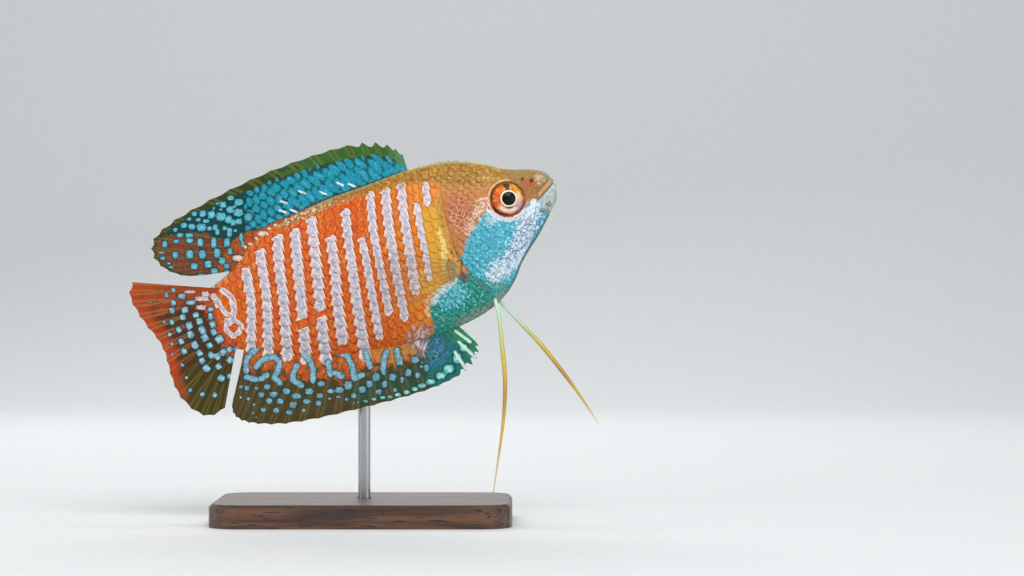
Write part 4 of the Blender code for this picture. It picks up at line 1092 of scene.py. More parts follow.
def glass_eye():
    """A painted eye under clear glass: pupil, pale ring, orange iris and a dark rim."""
    material, shader, add = new_finish("painted_glass_eye")
    spoke = add("Attribute", out="Vector", attribute_name="spoke")
    streaks = add("TexNoise", {"Vector": spoke, "Scale": 2.2, "Detail": 3.0})
    streaks = add("MapRange", {0: streaks, 1: NOISE_LOW, 2: NOISE_HIGH, 3: -0.5, 4: 0.5})
    coats = [(*coat[:5], "streaks", coat[5]) for coat in IRIS_COATS]
    colour = lay_coats(add, ink("#E8823A"), coats, {"streaks": streaks})
    plug(shader, {"Base Color": colour, "Roughness": 0.3, "IOR": 1.5, "Specular IOR Level": 0.12,
                  "Coat Weight": 0.14, "Coat Roughness": 0.04})
    return material


eye_finish = glass_eye()
print("coats of paint on the iris:", len(IRIS_COATS))

# %% [markdown]
# ## The eyes' shape
# The front is a shallow dome whose pupil stands a little higher, and the back lies hidden in the socket.
# Rings from the front pole to the back pole make the mesh, as on a globe.

# %% The eyes
def eye_mesh(side):
    """A flattened ball with a raised pupil, as rings from its front pole to its back pole."""
    lats, turns = 64, 80
    polar = np.linspace(0, math.pi, lats + 1)[1:-1]
    tilt, turn = np.meshgrid(polar, np.linspace(0, 2 * math.pi, turns, endpoint=False), indexing="ij")
    radius = EYE_RADIUS * np.sin(tilt)
    out = EYE_DEPTH * np.cos(tilt)
    out = out + PUPIL_RISE * bell(radius, PUPIL) * (out > 0)
    rings = np.stack([-radius * np.cos(turn), radius * np.sin(turn), out], axis=-1).reshape(-1, 3)
    local = np.vstack([rings, [(0, 0, EYE_DEPTH + PUPIL_RISE), (0, 0, -EYE_DEPTH)]])
    c, d = math.cos(EYE_FORWARD), math.sin(EYE_FORWARD)
    ahead, up, out = local.T
    width = side * (EYE_W + out * c - ahead * d)
    points = np.column_stack([EYE_S - (ahead * c + out * d), EYE_H + up, width])
    faces = tube_faces(len(polar), turns).tolist()
    front, rear = len(rings), len(rings) + 1
    last = (len(polar) - 1) * turns
    faces += [(front, k, (k + 1) % turns) for k in range(turns)]
    faces += [(rear, last + (k + 1) % turns, last + k) for k in range(turns)]
    if side < 0:
        faces = [face[::-1] for face in faces]
    far = np.where(out >= 0, np.hypot(ahead, up), EYE_RADIUS)
    turn = np.degrees(np.arctan2(up, ahead))

    def sector(middle, half, low, high, soft=0.4):
        """1 in a part of the iris, between two angles and two distances from its middle."""
        off = np.abs((turn - middle + 180) % 360 - 180)
        return (1 - step(off, half * 0.35, half * 1.65)) * window(far, low, high, soft)

    spoke = np.column_stack([2.6 * np.cos(np.radians(turn)), 2.6 * np.sin(np.radians(turn)), 0.35 * far])
    uphill = np.sin(np.radians(turn + 12))
    marks = {"from_centre": far, "spoke": spoke, "iris": np.ones(len(far)),
             "rear_red": sector(165, 45, 1.8, 2.8), "amber": sector(38, 34, 1.5, 2.7),
             "cream": sector(-12, 30, 1.4, 2.4), "pink": sector(-62, 36, 1.4, 3.1),
             "under": sector(-106, 24, 1.5, 2.05, 0.2), "crescent": sector(-116, 44, 2.15, 2.5),
             "wedge": sector(76, 15, 1.2, 3.3), "inner_ring": window(far, 1.0, 1.56, 0.12),
             "low_rim": window(far, 3.1, 3.6, 0.22) * step(-uphill, -0.1, 0.5),
             "top_rim": window(far, 3.1, 3.6, 0.2) * step(uphill, -0.3, 0.2),
             "pupil": 1 - step(far, PUPIL - 0.09, PUPIL + 0.09)}
    return points, faces, marks


for side, word in SIDES:
    points, faces, marks = eye_mesh(side)
    make_piece(f"eye_{word}_glass", points, faces, marks, eye_finish, "eye", f"eye_{word}")

# %% [markdown]
# ## Fins
# A fin is a skin stretched over rays, like a sail over battens. Each ray runs from its root to its tip, and
# the rays between a few measured ones follow smoothly.

# %% The fins' rays
DORSAL_KEYS = [
    (25.8, 25.6, 17.3), (27.8, 27.4, 19.9), (30.8, 31.0, 22.0), (34.6, 36.2, 23.0), (39.2, 42.6, 23.5),
    (44.4, 50.2, 23.6), (49.6, 58.0, 23.2), (54.4, 65.8, 22.4), (58.4, 72.4, 21.3), (61.0, 77.0, 19.5),
    (62.6, 78.4, 16.5), (63.7, 77.2, 13.2), (64.7, 74.2, 10.6), (65.6, 70.4, 9.2)]
ANAL_KEYS = [
    (27.2, 24.9, -21.6), (28.8, 25.6, -24.3), (30.8, 28.0, -26.2), (33.4, 31.8, -27.1), (37.4, 37.0, -27.4),
    (42.4, 44.2, -26.9), (47.4, 51.8, -26.0), (52.4, 59.6, -24.9), (57.2, 66.4, -23.4), (61.2, 71.4, -21.4),
    (64.4, 74.0, -19.4), (66.6, 74.4, -17.0), (67.7, 72.4, -13.8), (68.3, 70.2, -10.6)]
TAIL_KEYS = [
    (6.3, 84.0, 13.0), (5.4, 85.5, 10.8), (4.2, 85.3, 7.4), (2.9, 84.5, 4.0), (1.5, 83.4, 0.8),
    (0.0, 83.0, -2.2), (-1.5, 83.3, -5.4), (-2.9, 83.5, -8.8), (-4.2, 83.0, -12.0), (-5.2, 81.2, -15.4),
    (-6.0, 78.8, -17.0), (-6.6, 75.8, -16.5)]
PECTORAL_ROOT = [(24.5, -5.6), (25.5, -9.3)]
PECTORAL_KEYS = [
    (0.0, 33.0, -0.6, 5.2), (0.2, 37.0, -1.9, 6.3), (0.45, 38.8, -5.0, 6.8), (0.7, 37.6, -8.6, 6.4),
    (0.9, 33.6, -11.2, 5.4), (1.0, 29.6, -11.8, 4.2)]
DORSAL_RAYS, ANAL_RAYS, TAIL_RAYS, PECTORAL_RAYS = 24, 29, 15, 9
STEPS = 8  # strips of web between two rays
FIN_ROWS = 64  # rows of points from a large fin's root to its edge
WEB, WEB_EDGE, RAY_SWELL = 0.26, 0.12, 0.34
print("dorsal rays:", DORSAL_RAYS, "anal rays:", ANAL_RAYS, "tail rays:", TAIL_RAYS)

# %% [markdown]
# ## Web over rays
# The web is one closed sheet a quarter of a millimetre thick, whose surface swells over each ray. Soft rays
# split in two on their way out. The same function makes every fin from the rays' roots and tips.

# %% Fin shapes
def key_rays(keys, places):
    """The key rays' sizes read smoothly at each place, from 0 at the first to 1 at the last."""
    lines = [smooth(list(enumerate(column))) for column in zip(*keys)]
    return np.column_stack([line(places * (len(keys) - 1)) for line in lines])


def fin_mesh(root_at, tip_at, rays, rows, wave, notch, sunk, split, out=(0, 0, 1), swell=1.0):
    """A fin as a closed sheet, and its marks. root_at and tip_at give (s, h, w) at each share of the fan."""
    columns = (rays - 1) * STEPS + 1
    ray = np.arange(columns) / STEPS
    fan = ray / (rays - 1)
    root, tip = root_at(fan), tip_at(fan)
    length = np.linalg.norm(tip - root, axis=1)
    between = np.abs(ray - np.round(ray))
    dip = notch(ray) * np.sin(between * math.pi) ** 1.2
    share = np.concatenate([np.linspace(-sunk, 0, 4)[:-1], np.linspace(0, 1, rows)])
    v, fans = np.meshgrid(share, fan, indexing="ij")
    reach = np.where(v < 0, v * 12.0 / length, v * (1 - dip))
    middle = root + (tip - root) * reach[..., None]
    ride_on = np.clip(v, 0, 1)
    middle[..., 2] += wave(middle[..., 0], middle[..., 1], ride_on)
    middle[..., 2] += 0.05 * ride_on * np.sin(ray * 2 * math.pi + 0.6) * swell
    from_ray = between - split * step(ride_on, 0.35, 0.8)
    ridge = bell(from_ray, 0.10) * (1 - 0.55 * ride_on)
    thick = WEB + (WEB_EDGE - WEB) * ride_on + RAY_SWELL * swell * ridge
    thick += 0.55 * swell * np.exp(-np.maximum(v, 0) * length / 1.3)
    thick = np.where(v >= 1, 0.06, thick)
    across = thick[..., None] / 2 * np.asarray(out, float)
    points = np.concatenate([(middle + across).reshape(-1, 3), (middle - across).reshape(-1, 3)])
    marks = {"reach": reach * length, "to_edge": (1 - reach) * length, "ridge": bell(from_ray, 0.13),
             "share": ride_on, "fan": fans}
    marks = {mark: np.tile(values.ravel(), 2) for mark, values in marks.items()}
    return points, slab_faces(len(share), columns).tolist(), marks | {"place": points}


def fin_tip(keys):
    """A flat fin's ray tips, as a function of the share of its fan."""
    return lambda fan: np.column_stack([key_rays(keys, fan)[:, 1:], 0 * fan])


def ridge_root(keys, line, up):
    """The root of a fin that stands on a ridge of the body, in the same way."""
    def root_at(fan):
        s = key_rays(keys, fan)[:, 0]
        return np.column_stack([s, line(s) + up * 0.1, 0 * s])

    return root_at


def spined(count, deep, shallow):
    """How far the web's edge dips between the rays: deep between the first spines, then shallow."""
    return lambda ray: deep + (shallow - deep) * step(ray, count - 1.0, count)


even_dip = spined(1, 0.02, 0.02)
print("web", WEB, "mm thick at its root and", WEB_EDGE, "mm near its edge")

# %% [markdown]
# ## The fins' pattern
# Between two rays the web is a narrow strip, and the front of the dorsal fin is paved with blue patches laid
# like bricks in those strips. Everywhere else the pale blue stands in dabs of its own: spots, hooks and
# beads. They are placed one by one, as a painter would, from where they sit on the living fish.

# %% The fins' pattern
BRICK_PITCH, BRICK_GAP, BRICK_POWER = 1.42, 0.045, 3.4  # a strip's width, its dark share, and how square


def bricks(s, h, length, fill):
    """Patches between the leaning rays, 2 in the middle of one and 1 at its edge, and a chance for each."""
    across, along = 0.875 * s - 0.485 * h, (h - back(s)) / 0.875
    luck = np.random.default_rng(3).uniform(0, 1, 64)
    across = across / BRICK_PITCH + 0.10 * np.sin(1.3 * along + 0.5 * s)
    strip = np.floor(across)
    x = across - strip - 0.5
    along = along / length + luck[(strip % 61).astype(int)] * 3.0 + 0.35 * x
    brick = np.floor(along)
    y = along - brick - 0.5
    own = luck[((strip * 7 + brick * 13) % 64).astype(int)]
    far = np.abs(x / (0.5 - BRICK_GAP)) ** BRICK_POWER + np.abs(y / (0.5 - 0.09 / length)) ** BRICK_POWER
    far = far ** (1 / BRICK_POWER)
    return 2 - far / np.maximum(fill * (0.90 + 0.16 * own), 0.02), own


def line_field(s, h, lines, half):
    """How far each place is from the nearest of several lines, 1 at half a line's width."""
    return np.minimum.reduce([from_line(s, h, line) for line in lines]) / half


print("dark line between two full strips:", round(2 * BRICK_GAP * BRICK_PITCH, 2), "mm")

# %% [markdown]
# ## Dorsal fin
# Its front two thirds are paved with blue, divided by dark lines. The patches grow shorter towards the rear,
# where single spots take over. The free rear lobe is red-brown, and the whole outer margin is green or olive.

# %% Spots of the dorsal fin
DORSAL_SPOTS = [
    (60.0, 21.4, 0.61, 0.43), (58.8, 20.0, 0.82, 0.61), (61.9, 20.7, 0.61, 0.56), (62.8, 21.3, 0.28, 0.26),
    (62.6, 20.0, 0.33, 0.20), (60.9, 19.3, 0.65, 0.65), (59.6, 18.2, 0.87, 0.69), (58.1, 16.7, 0.69, 0.69),
    (59.9, 19.6, 0.28, 0.26), (67.8, 21.1, 0.50, 0.43), (66.2, 20.5, 0.59, 0.59), (64.7, 19.7, 0.65, 0.69),
    (63.8, 20.7, 0.30, 0.22), (69.1, 20.5, 0.43, 0.26), (67.5, 19.7, 0.48, 0.33), (66.1, 18.9, 0.61, 0.33),
    (63.1, 18.7, 0.87, 0.78), (61.9, 17.6, 0.65, 0.74), (60.1, 16.5, 0.59, 0.54), (61.3, 16.7, 0.41, 0.61),
    (70.5, 19.7, 0.59, 0.48), (72.4, 19.5, 0.37, 0.39), (69.1, 18.9, 0.61, 0.54), (67.4, 18.1, 0.87, 0.69),
    (66.0, 17.3, 0.43, 0.39), (64.9, 17.1, 0.43, 0.56), (64.8, 16.1, 0.37, 0.61), (63.2, 16.3, 0.37, 0.43),
    (62.6, 15.2, 0.48, 0.91), (61.4, 15.1, 0.30, 0.26), (71.9, 18.2, 0.59, 0.39), (70.2, 17.5, 0.74, 0.39),
    (73.6, 18.8, 0.26, 0.13), (75.3, 17.6, 0.46, 0.59), (73.0, 17.3, 0.54, 0.30), (70.5, 16.5, 0.61, 0.43),
    (68.6, 15.4, 0.54, 0.78), (66.2, 14.4, 0.50, 1.00), (63.8, 13.5, 0.52, 0.82), (74.1, 14.9, 0.52, 0.61),
    (71.4, 14.0, 0.65, 0.76), (69.1, 13.1, 0.59, 0.78), (66.3, 12.3, 0.59, 0.82), (65.9, 10.5, 0.61, 0.65),
    (71.4, 11.5, 0.65, 0.56), (68.7, 10.9, 0.63, 0.65), (65.4, 9.2, 0.48, 0.48), (65.9, 8.0, 0.48, 0.52),
    (68.1, 9.1, 0.67, 0.63), (70.8, 9.2, 0.78, 0.48), (68.6, 7.5, 0.52, 0.15), (76.5, 16.3, 0.65, 0.17),
    (76.7, 15.2, 0.48, 0.33), (75.9, 13.8, 0.43, 0.17), (75.8, 13.0, 0.43, 0.22), (62.9, 9.9, 0.91, 0.56),
    (63.8, 11.7, 0.39, 0.61), (60.8, 13.5, 0.35, 0.74), (61.0, 12.1, 0.30, 0.61)]
# Painted highlights: short near-white streaks near the root, where light glints on the web.
HIGHLIGHT_STREAKS = [(46.6, 17.4), (42.8, 15.8), (39.1, 16.3), (37.0, 15.2), (50.6, 16.9), (49.4, 14.6), (51.4, 15.3)]
LOBE_TOP = [(60, 10.5), (63.7, 13.6), (67.1, 16.9), (69.8, 17.9), (74.6, 19.0), (80, 19.5)]
LOBE_LOW = [(64, 8.8), (70, 9.0), (75, 12.0), (78, 15.5)]
print("spots on the dorsal fin:", len(DORSAL_SPOTS))

# %% [markdown]
# ## The dorsal fin's web and paint
# A live fin is never flat. This one bends to the left, more towards its edge and its rear. The bricks shrink
# away at the margin and leave the lobe free, and the spots are painted over them.

# %% Dorsal fin
def dorsal_wave(s, h, v):
    """The fin's bend out to the left, which grows towards its edge and its rear."""
    return v * v * (0.9 * window(s, 66, 90, 16) + 0.35 * np.sin(s / 5.2))


points, faces, marks = fin_mesh(ridge_root(DORSAL_KEYS, back, 1), fin_tip(DORSAL_KEYS), DORSAL_RAYS, FIN_ROWS,
                                dorsal_wave, spined(5, 0.15, 0.03), 0.09, 0.15)
s, h, fan, to_edge = points[:, 0], points[:, 1], marks["fan"], marks["to_edge"]
margin = np.interp(fan, [0, 0.35, 0.6, 1.0], [3.4, 2.8, 1.8, 1.0])
along_room = s * math.cos(HEAD_UP) + h * math.sin(HEAD_UP)
lobe = step(follow(s, LOBE_TOP) - h, -0.5, 0.5) * step(s, 61.5, 63.5)
root_wide = np.interp(along_room, [44, 50, 54, 58, 60, 63], [0.0, 0.15, 0.5, 1.2, 2.7, 3.6])
blue = step(to_edge, margin - 0.5, margin + 0.5) * (1 - lobe)
fill = np.interp(along_room, [30, 36, 50, 58, 60.8, 61.4], [1.14, 1.06, 1.0, 0.96, 0.90, 0.1])
fill *= np.interp(to_edge - margin, [-0.9, 0.0, 1.2], [0.05, 0.72, 1.0])
brick_length = np.interp(along_room, [34, 44, 52, 58], [4.4, 3.6, 2.8, 2.2])
marks["cell"], luck = bricks(s, h, brick_length, fill)
marks["cell"] -= 2 * most(lobe, 1 - step(marks["reach"], root_wide - 0.6, root_wide))
marks["cell_pale"] = marks["cell"] - 0.5 * luck
marks["dab"] = 2 - spot_field(s, h, DORSAL_SPOTS, 3.2) / 1.04
marks["blue"] = blue
marks["blue_rear"] = blue * step(along_room, 56, 62)
marks["lobe"] = lobe * step(to_edge, 0.3, 1.6)
marks["lobe_low"] = lobe * (1 - step(h - follow(s, LOBE_LOW), -0.9, 0.2))
marks["front_edge"] = 1 - step(fan, 0.02, 0.12)
marks["sheer"] = (1 - step(to_edge, margin - 0.6, margin + 0.4)) * (1 - step(fan, 0.25, 0.6))
marks["root_brown"] = 1 - step(marks["reach"], root_wide - 0.8, root_wide)
marks["edge_line"] = 1 - step(to_edge, 0.10, 0.40)
marks["ray_line"] = marks["ridge"] * (1 - blue)
# Painted highlight: near-white streaks along the rays near the root, standing in for glints of light.
highlight_streak_lines = [[(a - 0.5, b - 0.5), (a + 0.5, b + 0.5)] for a, b in HIGHLIGHT_STREAKS]
marks["painted_highlight"] = 2 - line_field(s, h, highlight_streak_lines, 0.2)
marks["base"] = 2 - spot_field(s, h, BASE_SPOTS)
marks["dab_blue"] = marks["dab"] - 1.6 * step(along_room, 60.0, 65.0)
DORSAL_COATS = [
    ("sheer", "#34662C", 0.37, 1, 0.7, "cloud", 0.85), ("blue", "#0D4F5C", 0.52, 0.9, 1, "grain", 1.0),
    ("blue_rear", "#123C36", 0.3, 0.8, 0.4, "cloud", 0.9),
    ("front_edge", "#5C9A78", 0.3, 0.9, 0.5, "grain", 0.6),
    ("lobe", "#7A3A28", 0.3, 0.8, 0.6, "cloud", 1.0), ("lobe", "#463A1E", 0.95, 1.4, 0.9, "strokes", 0.8),
    ("lobe_low", "#223C1E", 0.3, 0.8, 0.5, "grain", 0.95),
    ("root_brown", "#A54A1C", 0.3, 0.75, 0.6, "grain", 1.0),
    ("root_brown", "#5E3418", 1, 1.5, 0.9, "strokes", 0.8),
    ("root_brown", "#CE8A4E", 1.1, 1.5, 0.9, "dust", 0.6),
    ("edge_line", "#7C7A40", 0.4, 0.9, 0.5, "dust", 0.6),
    ("ray_line", "#6F7438", 0.4, 0.9, 0.3, "dust", 0.5), ("cell", "#1E939F", 0.92, 1.14, 0.3, "dust", 1.0),
    ("cell", "#1681AC", 1.2, 1.65, 0.6, "grain", 0.9),
    ("cell_pale", "#46AAD2", 1.1, 1.9, 0.8, "grain", 0.75), ("dab", "#0F3638", 0.45, 0.8, 0.3, "dust", 0.8),
    ("dab", "#4AA6BA", 0.94, 1.12, 0.35, "dust", 1.0), ("dab", "#86C2CC", 1.2, 1.85, 0.8, "grain", 0.7),
    ("dab_blue", "#3E9CBE", 0.94, 1.3, 0.5, "dust", 0.75),
    # the last coat is painted highlight: near-white streaks for glints on the web
    ("base", "#E6CDB4", 0.94, 1.2, 0.5, "dust", 0.95), ("painted_highlight", "#E4F2F6", 0.8, 1.3, 0.5, "dust", 0.9)]
dorsal_paint = lacquered("lacquered_dorsal_fin", "#343A1A", DORSAL_COATS)
make_piece("dorsal_fin_web", points, faces, marks, dorsal_paint, "dorsal_fin", "dorsal_fin")

# %% [markdown]
# ## Anal fin
# The longest fin. At its root it takes up the body's orange and the feet of the pale bars, and blue hooks
# curl there. Further out it is brown with loose spots. Its front is teal with a blue patch, turquoise beads
# run along its edge, and the first spines are pale green.

# %% Spots and hooks of the anal fin
ANAL_SPOTS = [
    (71.3, -13.7, 0.33, 0.33), (70.3, -14.4, 0.45, 0.45), (68.6, -15.1, 0.39, 0.31),
    (72.1, -15.7, 0.25, 0.25), (70.8, -16.5, 0.33, 0.33), (70.1, -17.9, 0.25, 0.25),
    (70.9, -19.4, 0.22, 0.22), (70.6, -20.4, 0.20, 0.20), (66.5, -15.6, 0.56, 0.50),
    (68.1, -16.6, 0.56, 0.50), (65.8, -17.4, 0.75, 0.50), (67.1, -18.3, 0.61, 0.53),
    (65.1, -19.1, 0.64, 0.53), (68.8, -19.5, 0.47, 0.47), (66.5, -20.5, 0.53, 0.53),
    (64.3, -21.8, 0.61, 0.39), (61.5, -22.4, 0.36, 0.36), (63.3, -17.7, 0.70, 0.56),
    (61.8, -19.3, 0.84, 0.50), (63.0, -20.7, 0.70, 0.56), (60.3, -21.0, 0.72, 0.42),
    (59.2, -19.4, 0.78, 0.61), (57.5, -20.9, 0.61, 0.45), (58.3, -22.2, 0.53, 0.50),
    (56.5, -18.8, 0.67, 0.50), (55.3, -20.8, 0.61, 0.45), (53.6, -21.2, 0.78, 0.56),
    (51.7, -21.0, 0.75, 0.78), (54.2, -22.4, 0.45, 0.25), (56.0, -22.1, 0.33, 0.20),
    (52.9, -23.4, 0.36, 0.31), (51.4, -23.3, 0.50, 0.56), (49.4, -22.7, 0.67, 0.67),
    (47.7, -22.2, 0.61, 0.67), (46.0, -21.4, 0.70, 0.78), (46.6, -24.3, 0.56, 0.50),
    (45.0, -23.3, 0.50, 0.72), (43.0, -22.6, 0.67, 0.67), (44.3, -21.2, 0.39, 0.45),
    (40.6, -20.1, 0.67, 0.90), (39.8, -22.9, 0.61, 0.72), (37.7, -21.0, 0.72, 0.67),
    (41.5, -23.8, 0.31, 0.72), (43.5, -25.1, 0.39, 0.39), (38.3, -24.0, 0.45, 0.61),
    (36.2, -23.3, 0.50, 0.67), (37.1, -22.6, 0.28, 0.33)]
BEADS = [
    (51.8, -24.6, 0.22, 0.14), (51.1, -24.7, 0.22, 0.14), (49.6, -25.1, 0.45, 0.22),
    (48.0, -25.3, 0.45, 0.31), (46.3, -25.6, 0.50, 0.33), (44.9, -26.0, 0.50, 0.28),
    (43.3, -26.2, 0.61, 0.36), (41.5, -26.3, 0.61, 0.42), (39.8, -26.3, 0.61, 0.42),
    (38.2, -26.2, 0.78, 0.45), (36.4, -26.1, 0.89, 0.50), (34.1, -25.7, 0.95, 0.67),
    (32.2, -25.0, 1.00, 0.84), (29.9, -23.7, 0.78, 0.95), (28.0, -22.2, 0.72, 0.72)]
HOOKS = [
    [(65.7, -7.9), (67.1, -8.4), (68.4, -9.1), (69.0, -10.4), (69.2, -11.2)], [(69.6, -12.4),
    (68.1, -13.4)], [(67.2, -13.7), (65.8, -13.4)], [(53.7, -15.4), (54.2, -17.7)], [(53.2, -17.8),
    (52.2, -18.9)], [(67.2, -11.2), (65.8, -10.4), (64.4, -10.4), (63.0, -10.7), (62.5, -12.0),
    (63.5, -13.4), (64.6, -14.4), (63.9, -15.8)], [(59.6, -13.8), (60.7, -14.8), (61.4, -16.1),
    (60.2, -17.7)], [(57.5, -12.1), (56.9, -14.1), (56.9, -15.6), (57.8, -17.7)], [(51.2, -14.2),
    (49.7, -15.7), (49.6, -17.8), (50.1, -20.2)], [(50.1, -20.2), (48.4, -20.1)], [(46.2, -16.2),
    (46.4, -19.1)], [(42.4, -17.6), (43.5, -19.0), (44.2, -20.6)], [(40.3, -18.0), (40.6, -19.0)]]
THORNS = [
    [(26.9, -18.3), (24.8, -22.4)], [(28.5, -20.8), (26.6, -24.7)], [(29.9, -22.4), (29.1, -26.2)],
    [(28.3, -18.6), (26.4, -21.6)]]
RED_EDGE = [
    (33.6, -18.6), (35.1, -20.0), (37.3, -21.2), (41.7, -21.2), (45.9, -20.4), (50.5, -20.8), (57.0, -18.4),
    (59.6, -17.3), (63.2, -15.0), (66.8, -12.7), (70.6, -11.0)]
print("spots, beads and hooks on the anal fin:", len(ANAL_SPOTS), len(BEADS), len(HOOKS))

# %% [markdown]
# ## The anal fin's web and paint
# It bends to the right, so that the two long fins don't lie in one plane. The bars' field of the body goes on
# over its root, so the bars' feet run on from skin to web.

# %% Anal fin
def anal_wave(s, h, v):
    """The fin's bend out to the right."""
    return -v * v * (0.8 * window(s, 66, 90, 14) + 0.35 * np.sin(s / 4.6 + 1.0))


points, faces, marks = fin_mesh(ridge_root(ANAL_KEYS, belly, -1), fin_tip(ANAL_KEYS), ANAL_RAYS, FIN_ROWS,
                                anal_wave, spined(6, 0.15, 0.02), 0.09, 0.15)
s, h, fan, to_edge = points[:, 0], points[:, 1], marks["fan"], marks["to_edge"]
hooks = line_field(s, h, HOOKS, 0.55)
marks["dab"] = 2 - np.minimum(spot_field(s, h, ANAL_SPOTS), hooks)
marks["hook"] = 2 - hooks
marks["bead"] = 2 - spot_field(s, h, BEADS)
marks["thorn"] = 2 - line_field(s, h, THORNS, 0.30)
marks["bar"] = 2 - bar_field(s, h)
marks["red"] = step(h - follow(s, RED_EDGE), -3.2, 2.6)
marks["amber"] = marks["red"] * (1 - step(s, 42, 52))
marks["dark"] = window(s, 34, 50, 5) * (1 - marks["red"]) * step(to_edge, 0.8, 1.8)
marks["teal"] = 1 - step(s + 0.25 * (h + 20), 33.0, 38.0)
marks["blue"] = oval(s, h, 33.2, -21.0, 2.9, 3.4, 20, 0.8)
marks["pink"] = oval(s, h, 35.8, -18.4, 2.0, 3.2, 10, 0.9)
marks["spiny"] = 1 - step(s - 0.3 * (h + 22), 27.6, 30.2)
marks["margin"] = 1 - step(to_edge, 0.8, 2.4)
marks["edge_line"] = 1 - step(to_edge, 0.10, 0.40)
marks["ray_line"] = marks["ridge"]
ANAL_COATS = [
    ("red", "#B84A1E", 0.5, 1.05, 1.0, "cloud", 1.0), ("red", "#D65F1F", 0.8, 1.3, 0.5, "cloud", 0.9),
    ("red", "#84401C", 1.0, 1.45, 0.9, "grain", 0.75), ("red", "#DE8E34", 1.08, 1.4, 0.9, "strokes", 0.6),
    ("amber", "#BC7C2E", 0.5, 1.1, 0.9, "cloud", 0.9), ("amber", "#E2C48A", 1.1, 1.4, 0.9, "dust", 0.8),
    ("dark", "#2A4838", 0.3, 0.85, 0.6, "cloud", 0.95), ("margin", "#443A1E", 0.3, 0.85, 0.4, "cloud", 0.9),
    ("ray_line", "#7C6A38", 0.3, 0.9, 0.3, "dust", 0.35), ("teal", "#1E6A66", 0.3, 0.8, 0.6, "grain", 1.0),
    ("blue", "#2A6A86", 0.45, 1.0, 0.9, "grain", 1.0), ("blue", "#12384A", 0.9, 1.3, 0.9, "strokes", 0.8),
    ("blue", "#8FC2D2", 0.95, 1.35, 0.9, "lines", 0.75), ("pink", "#7A6E80", 0.47, 1, 0.9, "grain", 0.8),
    ("pink", "#E4D4DC", 0.75, 1.35, 0.9, "strokes", 0.85),
    ("spiny", "#2F7A5C", 0.3, 0.8, 0.5, "grain", 1.0), ("edge_line", "#6E6436", 0.4, 0.9, 0.5, "dust", 0.6),
    ("bar", "#F2D6C8", 0.92, 1.05, 0.5, "teeth", 1.0), ("bar", "#AEB0C2", 1.26, 1.62, 0.6, "teeth", 1.0),
    ("dab", "#1B3A34", 0.42, 0.8, 0.5, "dust", 0.8), ("dab", "#6A9EAE", 0.94, 1.14, 0.5, "dust", 1.0),
    ("dab", "#A4C8D2", 1.3, 1.85, 0.9, "grain", 0.75), ("dab", "#3E7C94", 1.4, 1.8, 1, "dust", 0.7),
    ("hook", "#8CBAD0", 1.2, 1.7, 0.9, "grain", 0.65), ("bead", "#163E3A", 0.42, 0.8, 0.3, "dust", 0.85),
    ("bead", "#5AB2AE", 0.94, 1.1, 0.4, "dust", 1.0), ("bead", "#A6DCD2", 1.25, 1.7, 0.8, "grain", 0.9),
    ("thorn", "#CFE8D8", 0.85, 1.25, 0.5, "dust", 0.9)]
anal_paint = lacquered("lacquered_anal_fin", "#483E1E", ANAL_COATS)
make_piece("anal_fin_web", points, faces, marks, anal_paint, "anal_fin", "anal_fin")

# %% [markdown]
# ## Tail fin
# A fan of forked rays. Pale dabs stand in arcs across it, placed one by one and turned square to the rays.
# Its root takes up the body's orange and the pale curls, and its outer edge is red above and olive below.

# %% Tail fin
TAIL_FOCUS = 56.0  # the s from which the rays seem to spread


def tail_root(fan):
    """The roots of the tail's rays, on the end of the stalk."""
    return np.column_stack([BODY_LENGTH + 0.4 + 0 * fan, key_rays(TAIL_KEYS, fan)[:, 0], 0 * fan])


def tail_wave(s, h, v):
    """The fan's bend out to the left, with a ripple across it."""
    return v * v * (1.1 + 0.05 * h) + 0.25 * v * np.sin(h / 3.4)


points, faces, marks = fin_mesh(tail_root, fin_tip(TAIL_KEYS), TAIL_RAYS, FIN_ROWS, tail_wave, even_dip,
                                0.12, 0.17)
s, h, fan, to_edge = points[:, 0], points[:, 1], marks["fan"], marks["to_edge"]
marks["dab"] = 2 - spot_field(s, h, TAIL_SPOTS, 3.6, TAIL_FOCUS) * 1.06
marks["dab_pink"] = 2 - np.minimum(spot_field(s, h, PINK_SPOTS), curl_field(s, h))
marks["low"] = step(fan, 0.50, 0.72) * step(marks["reach"], 2.0, 5.0)
marks["red_edge"] = (1 - step(to_edge, 0.2, 5.0)) * (1 - step(fan, 0.62, 0.86))
marks["upper"] = 1 - step(fan, 0.12, 0.34)
marks["root"] = 1 - step(marks["reach"], 1.5, 4.5)
marks["ray_line"] = marks["ridge"] * (1 - step(fan, 0.5, 0.7)) * step(marks["reach"], 5, 8)
marks["ray_low"] = marks["ridge"] * step(fan, 0.5, 0.7) * step(marks["reach"], 2, 5)
TAIL_COATS = [
    ("root", "#B44C22", 0.42, 0.8, 0.8, "grain", 1.0), ("upper", "#A0421A", 0.3, 1.1, 0.5, "cloud", 0.95),
    ("low", "#40340F", 0.3, 1.05, 0.5, "cloud", 1.0), ("red_edge", "#AA3A16", 0.22, 1.0, 0.3, "cloud", 1.0),
    ("ray_line", "#B06C38", 0.25, 0.9, 0.3, "dust", 0.6),
    ("ray_low", "#6A6428", 0.25, 0.9, 0.3, "dust", 0.6), ("dab", "#1C3034", 0.42, 0.8, 0.3, "dust", 0.85),
    ("dab", "#679FAE", 0.94, 1.1, 0.4, "dust", 1.0), ("dab", "#A4C8D0", 1.2, 1.7, 0.9, "grain", 0.85),
    ("dab_pink", "#7E3020", 0.55, 0.85, 0.4, "dust", 0.7),
    ("dab_pink", "#DCC8CC", 0.92, 1.16, 0.8, "dust", 1.0),
    ("dab_pink", "#98A8BC", 1.4, 1.8, 0.9, "grain", 0.8)]
tail_paint = lacquered("lacquered_tail_fin", "#4C2C14", TAIL_COATS)
make_piece("tail_fin_web", points, faces, marks, tail_paint, "tail_fin", "tail_fin")

